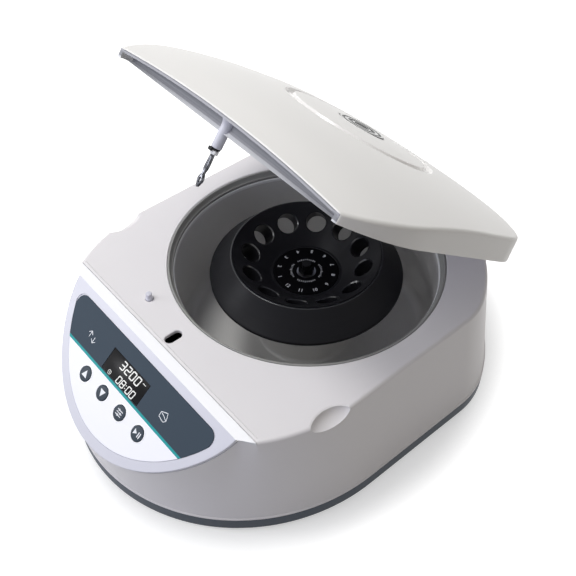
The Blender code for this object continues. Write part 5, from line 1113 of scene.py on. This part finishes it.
def make_bowl():
    top, sheet, radius, floor = SEAL_LOW - GAP - GAP, BOWL_SHEET, BOWL_RADIUS, BOWL_FLOOR
    corner, bend, tower_z = BOWL_CORNER, BOWL_WELL_ROUND, BOWL_TOWER_TOP - BOWL_WELL_ROUND

    def side(out):
        """The wall's lower bend, the well's and the tower's, on the inside or a sheet further out."""
        points = arc(radius - corner, floor + corner, corner + out, 0, -90, 12)
        points += arc(BOWL_WELL, floor + bend, bend + out, -90, -180, 6)
        return points + arc(BOWL_TOWER, tower_z, bend - out, 0, 90, 6)

    profile = arc(radius + BEAD, top - BEAD, BEAD, 90, 180, 6) + [(radius, top - 0.0030)] + side(0)
    profile += [(BOWL_SHAFT_HOLE, BOWL_TOWER_TOP), (BOWL_SHAFT_HOLE, BOWL_TOWER_TOP - sheet)]
    profile += side(sheet)[::-1]
    profile += [(radius + sheet, top - sheet), (BOWL_FLANGE, top - sheet), (BOWL_FLANGE, top)]
    bm = lathe(profile, closed=True)
    # The bead round the bowl's rim gets a painted highlight
    reach = radius + BEAD + GAP
    paint(bm, 1, lambda place, normal: place.z > top - BEAD_DEPTH and place.xy.length < reach)
    add_piece("bowl", bm, (bowl_metal, bead_highlight), "base", "chamber_bowl", DECK)


# Rotor


def cone_height(radius):
    return CONE_FOOT[1] + (radius - CONE_FOOT[0]) * math.tan(CONE_TILT)


def on_hole_rim(to_hole, place, normal):
    """Whether a face of the rotor lies on the chamfer round a tube hole."""
    local = to_hole @ place
    radius = local.xy.length
    if not (TUBE_RADIUS < radius < TUBE_RADIUS + 0.0011 and -0.0007 < local.z < 0.0012):
        return False
    facing = to_hole.to_3x3() @ normal
    return facing.x * local.x + facing.y * local.y < -0.3 * radius


def rotor_profile():
    """The rotor's section: the cone, the lip, the skirt, the underside and the web round the hub."""
    lip, inner, top = ROTOR_LIP, ROTOR_LIP - ROTOR_LIP_WIDTH, ROTOR_LIP_TOP
    skirt, low = ROTOR_SKIRT, ROTOR_SKIRT_LOW
    plate_out, plate_drop = ROTOR_PLATE * math.sin(CONE_TILT), ROTOR_PLATE * math.cos(CONE_TILT)
    shoulder, under_foot = lip + ROTOR_LIP_WIDTH / 2, CONE_FOOT[0] + plate_out
    hub_hole, dial_hole = SPIGOT_RADIUS + GAP, DIAL_RADIUS + GAP
    profile = [CONE_FOOT, (inner - 0.0004, cone_height(inner - 0.0004))]
    profile += [(inner, cone_height(inner) + 0.0003), (inner, top - 0.0006)]
    profile += arc(inner + 0.0006, top - 0.0006, 0.0006, 180, 90, 4)
    profile += arc(lip - 0.0007, top - 0.0007, 0.0007, 90, 38, 3)
    profile += [(skirt - 0.0011, low + 0.0032)] + arc(skirt - 0.0016, low + 0.0018, 0.0016, 38, 0, 4)
    profile += arc(skirt - 0.0007, low + 0.0007, 0.0007, 0, -90, 4)
    profile += [(skirt - ROTOR_SKIRT_WALL, low), (shoulder, cone_height(shoulder - plate_out) - plate_drop)]
    profile += [(under_foot, CONE_FOOT[1] - plate_drop), (under_foot - 0.0045, WEB_LOW), (hub_hole, WEB_LOW)]
    profile += [(hub_hole, WEB_TOP), (dial_hole, WEB_TOP), (dial_hole, CONE_FOOT[1] - GAP)]
    return profile + [(dial_hole + GAP, CONE_FOOT[1])]


def make_rotor():
    mouth = TUBE_RADIUS + TUBE_CHAMFER
    tube = [(0, CHAMBER_CUT), (TUBE_RADIUS, CHAMBER_CUT), (TUBE_RADIUS, -TUBE_CHAMFER), (mouth, 0.0)]
    tube += [(mouth + 0.0003, 0.0004), (mouth + 0.0003, 0.004), (0, 0.004)]
    (inner, outer), bottom = SLEEVE_RADII, SLEEVE_TOP - SLEEVE_LENGTH
    section = [(inner, bottom), (outer, bottom), (outer, SLEEVE_TOP), (inner, SLEEVE_TOP)]
    on_cone = Matrix.Translation((TUBE_CIRCLE, 0, cone_height(TUBE_CIRCLE)))
    on_cone = on_cone @ Matrix.Rotation(-CONE_TILT, 4, "Y")
    places = []
    for i in range(TUBE_COUNT):
        turn = TUBE_FIRST_TURN + 2 * math.pi * i / TUBE_COUNT
        places.append(Matrix.Rotation(turn, 4, "Z") @ on_cone)
    sleeves = gather([moved(lathe(section, HOLE_STEPS, closed=True), place) for place in places])
    add_piece("tube_sleeves", sleeves, rotor_black, "rotor", place=DECK)
    holes = [moved(lathe(tube, HOLE_STEPS), place) for place in places]
    head = carve(lathe(rotor_profile(), closed=True), *holes)
    to_holes = [place.inverted() for place in places]
    # The lip's top and the chamfers round the holes get a painted highlight
    low, reach = ROTOR_LIP_TOP - 0.0005, ROTOR_LIP - ROTOR_LIP_WIDTH + 0.0003
    paint(head, 1, lambda place, normal: place.z > low and place.xy.length > reach)
    paint(head, 1, lambda place, normal: any(on_hole_rim(to_hole, place, normal) for to_hole in to_holes))
    add_piece("rotor", head, (rotor_black, rotor_edge_highlight), "rotor", "rotor_head", DECK)


def make_rotor_fittings():
    low, bore, edge = WEB_TOP + GAP, SPIGOT_RADIUS + GAP, 0.0002
    dial = [(bore, low), (DIAL_RADIUS, low), (DIAL_RADIUS, DIAL_TOP - edge), (DIAL_RADIUS - edge, DIAL_TOP)]
    dial = lathe(dial + [(bore, DIAL_TOP)], closed=True)
    add_piece("dial", dial, dial_black, "rotor", "rotor_dial", DECK)
    make_dial_marks()

    seat, radius, foot, edge = WEB_LOW - GAP, 0.014, -0.042, 0.0006
    hub = [(SHAFT_BORE, foot), (radius - edge, foot), (radius, foot + edge), (radius, seat)]
    hub += [(SPIGOT_RADIUS, seat), (SPIGOT_RADIUS, DIAL_TOP), (SHAFT_BORE, DIAL_TOP)]
    hub = lathe(hub, HOLE_STEPS, closed=True)
    add_piece("hub", hub, steel, "rotor", "rotor_hub", DECK)

    low, rim = DIAL_TOP + GAP, 0.0050
    top, corner, past = low + NUT_HEIGHT, NUT_RADIUS * 0.88, NUT_RADIUS * 1.2
    bore = [(0, low - OVERRUN), (SHAFT_BORE, low - OVERRUN), (SHAFT_BORE, top - 0.0008)]
    bore += [(rim, top), (rim, top + OVERRUN), (0, top + OVERRUN)]
    trim = [(corner, top + 0.0008), (corner, top), (past, top - 0.0016), (past, top + 0.0008)]
    nut = slab(round_outline(NUT_RADIUS, 6), low, top)
    nut = carve(nut, lathe(bore, HOLE_STEPS), lathe(trim, HOLE_STEPS, closed=True))
    add_piece("nut", nut, dial_black, "rotor", "rotor_nut", DECK)


def make_dial_marks():
    """Numbers of the tube holes, and a ring of ticks inside them."""
    upright = Matrix.Translation((NUMBER_RADIUS, 0, DIAL_TOP + PRINT)) @ Matrix.Rotation(QUARTER, 4, "Z")
    forms = []
    for i in range(TUBE_COUNT):
        turn = FIRST_NUMBER_TURN - 2 * math.pi * i / TUBE_COUNT
        number = lettering(str(i + 1), NUMBER_SIZE, PRINT)
        forms.append(moved(number, Matrix.Rotation(turn, 4, "Z") @ upright))
    add_piece("dial_numbers", gather(forms), print_grey, "rotor", place=DECK)
    ticks = bmesh.new()
    inner, short, long = TICK_RADII
    for i in range(TICKS):
        if i % 12 in (0, 1):
            continue
        turn = 2 * math.pi * i / TICKS
        direction = Vector((math.cos(turn), math.sin(turn)))
        bar(direction * inner, direction * (short if i % 3 else long), ICON_STROKE, ticks, DIAL_TOP)
    add_piece("dial_ticks", ticks, print_grey, "rotor", place=DECK)


# Lid


def deck_half_width(y):
    x, blend_y = blend_centre(DECK_HALF_WIDTH, DECK_REAR_RADIUS, DECK_BLEND_RADIUS)
    if y < DECK_FLANK_CENTRE_Y:
        return math.sqrt(max(DECK_HALF_WIDTH**2 - (DECK_FLANK_CENTRE_Y - y) ** 2, 0.0))
    if y < blend_y:
        return DECK_HALF_WIDTH
    if y < DECK_REAR_RADIUS * math.sin(math.atan2(blend_y, x)):
        return x + math.sqrt(DECK_BLEND_RADIUS**2 - (y - blend_y) ** 2)
    return math.sqrt(max(DECK_REAR_RADIUS**2 - y**2, 0.0))


def share_at(y, values):
    """Reads a table along the lid, from front to rear, on a smooth curve through its values."""
    place = (y - DECK_FRONT_Y) / (DECK_REAR_RADIUS - DECK_FRONT_Y)
    place = min(max(place, 0.0), 1.0)
    last = len(LID_PLACES) - 1
    i = min(sum(place >= p for p in LID_PLACES[1:]), last - 1)
    step = LID_PLACES[i + 1] - LID_PLACES[i]
    part = (place - LID_PLACES[i]) / step

    def slope(k):
        low, high = max(k - 1, 0), min(k + 1, last)
        return (values[high] - values[low]) / (LID_PLACES[high] - LID_PLACES[low])

    square, cube = part**2, part**3
    ends = values[i] * (2 * cube - 3 * square + 1) + values[i + 1] * (3 * square - 2 * cube)
    return ends + step * (slope(i) * (cube - 2 * square + part) + slope(i + 1) * (cube - square))


def lid_edge(y):
    return LID_EDGE_HEIGHT * share_at(y, LID_EDGE_SHARES)


def lid_height(x, y):
    """The height of the lid's top over the deck plane."""
    reach = min(abs(x) / max(deck_half_width(y), GAP), 1.0)
    return lid_edge(y) + LID_CROWN * share_at(y, LID_CROWN_SHARES) * (1 - reach**2)


def lid_bottom(y):
    rise = max(0.0, (y / DECK_REAR_RADIUS - LID_RELIEF_START) / (1 - LID_RELIEF_START))
    return LID_SEAM + LID_REAR_RELIEF * rise


def lid_half(inset, front_y):
    """The right half of the lid's outline: its front edge, the rounded corner, the flank and the rear."""
    side = deck_half(inset, front_y)
    corner = Vector(side[0])
    turn = math.acos((DECK_FLANK_CENTRE_Y - front_y) / (DECK_HALF_WIDTH - inset))
    reach = max(LID_CORNER - inset / 2, LID_CORNER / 3) * math.tan(turn / 2)
    start = corner - Vector((reach, 0))
    end = corner + Vector((math.cos(turn), math.sin(turn))) * reach
    bend = []
    for share in spread(0, 1, CORNER_STEPS):
        bend.append(tuple(start.lerp(corner, share).lerp(corner.lerp(end, share), share)))
    front = [(x, front_y) for x in spread(0, start.x, LID_FRONT_STEPS)[:-1]]
    return front + bend + side[1:]


def leaning_half(inset, front_y, share):
    """The lid's right half, leaning inwards by a share towards the rear."""
    points = []
    for upright, leaning in zip(lid_half(inset, front_y), lid_half(inset + LID_LEAN, front_y)):
        ramp = min(max((upright[1] - LID_LEAN_START) / LID_LEAN_RUN, 0.0), 1.0)
        points.append(tuple(Vector(upright).lerp(Vector(leaning), share * ramp)))
    return points


def lid_ring(inset, drop, front_y, share=0.0):
    """A ring on the lid's top, or a drop under it."""
    return mirrored([(x, y, lid_height(x, y) - drop) for x, y in leaning_half(inset, front_y, share)])


def front_share(i):
    """How much of the fillet a point of the lid's outline keeps: less along the front edge."""
    ramp = (i - LID_FRONT_STEPS) / (2 * CORNER_STEPS)
    return LID_FRONT_SHARE + (1 - LID_FRONT_SHARE) * min(max(ramp, 0.0), 1.0)


def fillet_ring(turn):
    """A ring of the round edge between the lid's wall and its top."""
    inset, drop = LID_FILLET * (1 - math.cos(turn)), LID_FILLET * (1 - math.sin(turn))
    half = leaning_half(inset, DECK_FRONT_Y + inset * LID_FRONT_SHARE, 1.0)
    return mirrored([(x, y, lid_height(x, y) - drop * front_share(i)) for i, (x, y) in enumerate(half)])


def wall_ring(share):
    """A ring of the lid's wall, a share of the way up."""
    points = []
    for i, (x, y) in enumerate(leaning_half(0.0, DECK_FRONT_Y, share)):
        low, top = lid_bottom(y), lid_height(x, y) - LID_FILLET * front_share(i)
        points.append((x, y, low + (top - low) * share))
    return mirrored(points)


def inner_ring(share):
    """A ring of the wall's inner side."""
    points = []
    for x, y in lid_half(LID_WALL, INNER_FRONT_Y):
        low, top = lid_bottom(y), lid_edge(y) - LID_UNDER - WALL
        points.append((x, y, low + (top - low) * share))
    return mirrored(points)


def towards_circle(ring, radius, share=1.0, drop=0.0):
    """A ring that lies a share of the way from another to the circle about the rotor's axis."""
    points = []
    for x, y, _ in ring:
        scale = radius / math.hypot(x, y)
        px, py = x + (x * scale - x) * share, y + (y * scale - y) * share
        points.append((px, py, lid_height(px, py) - drop))
    return points


def cove_cutter():
    """What is cut away under the lip of the lid's front, between the posts at both ends."""
    reach = deck_half()[0][0] - COVE_POST
    straight = reach - COVE_END
    ends = [straight + COVE_END * math.sin(turn) for turn in spread(QUARTER, 0, 8)[:-1]]
    rings = []
    for x in [*[-x for x in ends], *spread(-straight, straight, COVE_STEPS), *reversed(ends)]:
        past = max(0.0, abs(x) - straight) / COVE_END
        depth = math.sqrt(max(1 - past**2, 0.0))
        lip_low = lid_height(x, DECK_FRONT_Y) - LID_LIP_THICKNESS
        front = DECK_FRONT_Y - OVERRUN
        profile = []
        for y, share in COVE_PROFILE:
            place = DECK_FRONT_Y + (y - DECK_FRONT_Y) * depth
            profile.append((x, place, LID_SEAM + (lip_low - LID_SEAM) * share))
        rings.append([(x, front, lip_low), (x, front, -OVERRUN), (x, profile[0][1], -OVERRUN), *profile])
    return loft(rings)


def lip_seam_cutter():
    """The fine seam along the lip of the lid's front."""
    reach = deck_half()[0][0] - COVE_POST
    rings = []
    for x in spread(-reach, reach, COVE_STEPS):
        z = lid_height(x, DECK_FRONT_Y) - LIP_SEAM_DROP
        low, high = z - LIP_SEAM_WIDTH / 2, z + LIP_SEAM_WIDTH / 2
        front, back = DECK_FRONT_Y - OVERRUN, DECK_FRONT_Y + LIP_SEAM_WIDTH
        rings.append([(x, front, low), (x, back, low), (x, back, high), (x, front, high)])
    return loft(rings)


def paint_lid(shell):
    """Paints shade on the lid's front and cove, light at the cove's foot and a highlight in the groove."""

    def cove_share(place):
        lip_low = lid_height(place.x, DECK_FRONT_Y) - LID_LIP_THICKNESS
        return (place.z - LID_SEAM) / (lip_low - LID_SEAM)

    def on_front(place, normal):
        below = lid_height(place.x, DECK_FRONT_Y) - BEAD - place.z
        return place.y < INNER_FRONT_Y - 0.0002 and below > 0 and abs(normal.x) < 0.5

    def in_groove(place, normal):
        across = abs(place.xy.length - GROOVE_RADIUS) < GROOVE_HALF_PROFILE[1][0]
        return across and place.z > lid_height(place.x, place.y) - GROOVE_HALF_PROFILE[-1][1] - GAP

    # Painted shade on the front and deeper in the cove, painted light at the cove's foot, a painted highlight
    # in the groove
    low, high = COVE_SHADE_SHARES
    paint(shell, 1, on_front)
    paint(shell, 3, lambda place, normal: on_front(place, normal) and low < cove_share(place) < high)
    paint(shell, 4, lambda place, normal: on_front(place, normal) and cove_share(place) < COVE_LIGHT_FOOT_SHARE)
    paint(shell, 2, in_groove)


def make_lid_shell():
    """The lid from under its crown, down the inside of its wall, up the outside and over the top."""
    under, seat, start = LID_UNDER, BADGE_RADIUS + GAP, GROOVE_RADIUS + GROOVE_REACH
    inner_edge = lid_ring(LID_WALL + LID_FILLET / 2, under, INNER_FRONT_Y)
    edge = lid_ring(LID_FILLET + SUPPORT, 0.0, DECK_FRONT_Y + LID_FILLET + SUPPORT, 1.0)
    rings = [towards_circle(inner_edge, seat, 1.0, under)]
    rings += [towards_circle(inner_edge, start, share, under) for share in spread(1, 0.1, 8)]
    rings += [inner_edge] + [inner_ring(share) for share in (0.85, 0.5, 0.0)]
    rings += [wall_ring(share) for share in spread(0, 1, 5)]
    rings += [fillet_ring(turn) for turn in spread(0, QUARTER, FILLET_STEPS)[1:]]
    rings += [edge] + [towards_circle(edge, start, share) for share in spread(0, 1, 16)[1:]]
    groove = GROOVE_HALF_PROFILE + tuple((-offset, drop) for offset, drop in reversed(GROOVE_HALF_PROFILE))
    rings += [towards_circle(edge, GROOVE_RADIUS + offset, 1.0, drop) for offset, drop in groove]
    rings += [towards_circle(edge, radius) for radius in (*LID_TOP_RINGS, seat + BADGE_RELIEF)]
    rings.append(towards_circle(edge, seat, 1.0, 0.0003))
    rings.append([(x, y, lid_height(0, 0) - BADGE_SEAT) for x, y, _ in rings[-1]])
    shell = carve(loft(rings), cove_cutter(), lip_seam_cutter())
    paint_lid(shell)
    finishes = (lid_white, lid_front_shade, lid_groove_highlight, cove_shade, cove_foot_light)
    add_piece("lid", shell, finishes, "lid", "lid_shell", LID)


def make_liner():
    low, high = LINER_LEVELS
    front_y, rear_y = LINER_Y

    def outline(inset):
        grown = LID_WALL + GAP + inset
        half = [point for point in deck_half(grown, front_y + inset) if point[1] < rear_y - OVERRUN]
        half.append((math.sqrt((DECK_REAR_RADIUS - grown) ** 2 - (rear_y - inset) ** 2), rear_y - inset))
        return half + [(-x, y) for x, y in reversed(half)]

    levels = [(0.010, low + 0.0008), (0.0095, low + 0.0003), (0.009, low), (0.0006, low)]
    levels += [(0.0002, low + 0.0002), (0.0, low + 0.0006), (0.0, high - 0.0004), (0.0004, high)]
    liner = loft([at_height(outline(inset), z) for inset, z in levels])
    add_piece("liner", liner, fascia_white, "lid", "lid_liner", LID)


def make_badge():
    """A round plate with plain raised rings."""
    top, slope = lid_height(0, 0) + 0.0002, 0.0003
    low, sunk = top - 0.0012, top - BADGE_RELIEF
    profile = [(0, low), (BADGE_RADIUS, low), (BADGE_RADIUS, sunk)]
    for outer, inner in BADGE_RINGS:
        profile += [(outer + slope, sunk), (outer, top), (inner, top), (inner - slope, sunk)]
    bm = lathe(profile + [(0.0, sunk)], 96)
    paint(bm, 1, lambda place, normal: place.z < top - 0.0001)
    add_piece("badge", bm, (badge_silver, badge_dark), "lid", "lid_badge", LID)


def make_latch():
    """The stem that flares into the cove, and the ring and the nut under it."""
    low, high, face, edge = -0.0105, 0.0118, 0.0033, 0.0005
    profile = [(0, low), (face, low)] + arc(face, low + edge, edge, -90, 0, 4)
    profile += [(0.0038, 0.0030), (0.0039, 0.0055), (0.0043, 0.0078), (0.0050, 0.0096), (0.0062, 0.0108)]
    stem = lathe(profile + [(0.0074, high), (0, high)], SMALL_STEPS, (0, LATCH_Y))
    add_piece("latch_stem", stem, fascia_white, "lid", "latch_boss", LID)
    top = low - GAP
    clip = slab(round_outline(0.0034, SMALL_STEPS, (0, LATCH_Y)), top - 0.0009, top)
    block((-0.0026, LATCH_Y - 0.0045, top - 0.0024), (0.0006, LATCH_Y - 0.0028, top), clip)
    rounded(clip, 0.0002, 2, 60)
    add_piece("latch_clip", clip, black_plastic, "lid", "latch_collar", LID)
    add_piece("latch_hex", softened("latch_nut", 0.0003), white_and_strip_highlight, "lid", "latch_nut")


def make_hook():
    """The spring-steel hook: two legs that meet in an open eye, by half widths and heights."""
    half = [(0.0014, -0.0154), (0.0016, -0.0190), (0.0018, -0.0236), (0.0017, -0.0262), (0.0011, -0.0284)]
    half += [(0.0010, -0.0298), (0.0019, -0.0316), (0.0026, -0.0336), (0.0024, -0.0356), (0.0014, -0.0380)]
    half.append((0.0004, -0.0400))
    hook = rounded(along_y(half + [(-x, z) for x, z in reversed(half)], LATCH_Y, 0.0011), 0.0006, 3, 60)
    eyes = []
    for middle, half_width, half_height in ((-0.0348, 0.0012, 0.0024), (-0.0226, 0.0004, 0.0052)):
        outline = [(x * half_width, middle + z * half_height) for x, z in round_outline(1.0, SMALL_STEPS)]
        eyes.append(along_y(outline, LATCH_Y, OVERRUN))
    add_piece("latch_hook", carve(hook, *eyes), spring_steel, "lid", "latch_pin", LID)


# Small fittings


def make_peg():
    top, neck, low, edge = 0.006, 0.0025, -0.012, 0.0008
    profile = [(0, top)] + arc(neck - edge, top - edge, edge, 90, 0, 5) + [(neck, 2 * edge)]
    profile += [(PEG_RADIUS - 0.0003, 0.0011), (PEG_RADIUS, edge), (PEG_RADIUS, low), (0, low)]
    peg, node = lathe(profile, SMALL_STEPS, PEG), "lid_switch_plunger"
    add_piece("peg", peg, fascia_white, node, node, DECK)


def make_rear():
    fittings = (
        ("rear_panel", "rear_plate", 0.0004, fascia_white, "base", "panel_plastic"),
        ("inlet", "power_inlet", 0.0004, black_plastic, "base", "dark_plastic"),
        ("fuse", "fuse_holder", 0.0005, black_plastic, "base", "dark_plastic"),
        ("switch_frame", "rocker_frame", 0.0004, black_plastic, "base", "dark_plastic"),
        ("switch_rocker", "power_rocker", 0.0005, base_grey, "power_rocker", "dark_plastic"),
    )
    for name, node, width, finish, body, slot in fittings:
        add_piece(name, softened(node, width), finish, body, node)


def finish_carried_nodes():
    """Materials for the nodes of the frame that stay as they are."""
    hinges = [f"hinge_{part}_{side}" for part in ("bracket", "pin", "arm") for side in ("left", "right")]
    finishes = {
        board_green: ("main_board", "control_board"),
        black_plastic: ("display_module", "motor_body", "lid_switch_body", "lock_solenoid"),
        rubber: [f"isolator_{number}" for number in range(1, 5)],
        black_steel: ("motor_shaft",),
        steel: ("motor_plate", "lock_catch", *hinges),
    }
    for finish, names in finishes.items():
        for name in names:
            for slot in frame["nodes"][name].material_slots:
                slot.material = finish


# Surroundings


def seen_directly(tree, otherwise):
    """1 for what the camera, a reflection or glass shows, and another level for the light on the object."""
    ray = wire(tree, "LightPath")
    seen = calculate(tree, "MAXIMUM", ray["Is Camera Ray"], ray["Is Glossy Ray"])
    seen = calculate(tree, "MAXIMUM", seen, ray["Is Transmission Ray"])
    return calculate(tree, "MULTIPLY_ADD", seen, 1 - otherwise, otherwise)


def make_world():
    world = bpy.data.worlds.new("Studio")
    bpy.context.scene.world = world
    world.use_nodes = True
    tree = world.node_tree
    fill(tree, tree.nodes["Background"], {"Color": (*WHITE, 1), "Strength": seen_directly(tree, WORLD_LIGHT)})


def floor_material():
    """White paper with the object's shadow. It turns to plain light further out and is clear from below."""
    made = bpy.data.materials.new("Studio floor")
    made.use_nodes = True
    tree = made.node_tree
    tree.nodes.remove(tree.nodes["Principled BSDF"])
    paper = wire(tree, "BsdfDiffuse", {"Color": seen_directly(tree, FLOOR_TONE)})
    light = wire(tree, "Emission", {"Strength": FLOOR_LIGHT})
    place = wire(tree, "TexCoord")["Object"]
    stretched = wire(tree, "VectorMath", {0: place, 1: FLOOR_STRETCH}, operation="MULTIPLY")
    distance = wire(tree, "VectorMath", {0: stretched[0]}, operation="LENGTH")["Value"]
    ramp = wire(tree, "MapRange", {"Value": distance} | FLOOR_RAMP, interpolation_type="SMOOTHSTEP")
    share = calculate(tree, "MULTIPLY", seen_directly(tree, 0.0), ramp["Result"])
    above = wire(tree, "MixShader", {0: share, 1: paper[0], 2: light[0]})
    below = wire(tree, "NewGeometry")["Backfacing"]
    surface = wire(tree, "MixShader", {0: below, 1: above[0], 2: wire(tree, "BsdfTransparent")[0]})
    fill(tree, tree.nodes["Material Output"], {"Surface": surface[0]})
    return made


def make_floor():
    bm = bmesh.new()
    bmesh.ops.create_grid(bm, x_segments=1, y_segments=1, size=4)
    mesh = as_mesh(bm, "floor")
    mesh.materials.append(floor_material())
    floor = put("floor", mesh)


def make_lights():
    for name, (place, size, power, colour) in SOFTBOXES.items():
        lamp = bpy.data.lights.new(name, "AREA")
        lamp.shape = "SQUARE"
        lamp.size = size
        lamp.energy = power
        lamp.color = colour
        made = put(name, lamp)
        made.location = place
        made.rotation_euler = (Vector(MIDDLE) - Vector(place)).to_track_quat("-Z", "Y").to_euler()


def make_camera():
    camera = bpy.data.cameras.new("camera")
    camera.lens = CAMERA_LENS
    camera.sensor_width = 36
    made = put("camera", camera)
    level = math.cos(CAMERA_ELEVATION)
    back = (math.sin(CAMERA_AZIMUTH) * level, -math.cos(CAMERA_AZIMUTH) * level, math.sin(CAMERA_ELEVATION))
    made.location = CAMERA_PLACE
    made.rotation_euler = Vector(back).to_track_quat("Z", "Y").to_euler()
    bpy.context.scene.camera = made


make_housing()
make_base()
make_feet()
make_screws()
make_fascia()
make_overlay()
make_display()
make_icons()
make_keys()
make_seal()
make_bowl()
make_rotor()
make_rotor_fittings()
make_lid_shell()
make_liner()
make_badge()
make_latch()
make_hook()
make_peg()
make_rear()
finish_carried_nodes()
make_world()
make_floor()
make_lights()
make_camera()
bpy.context.scene.view_settings.view_transform = "Standard"
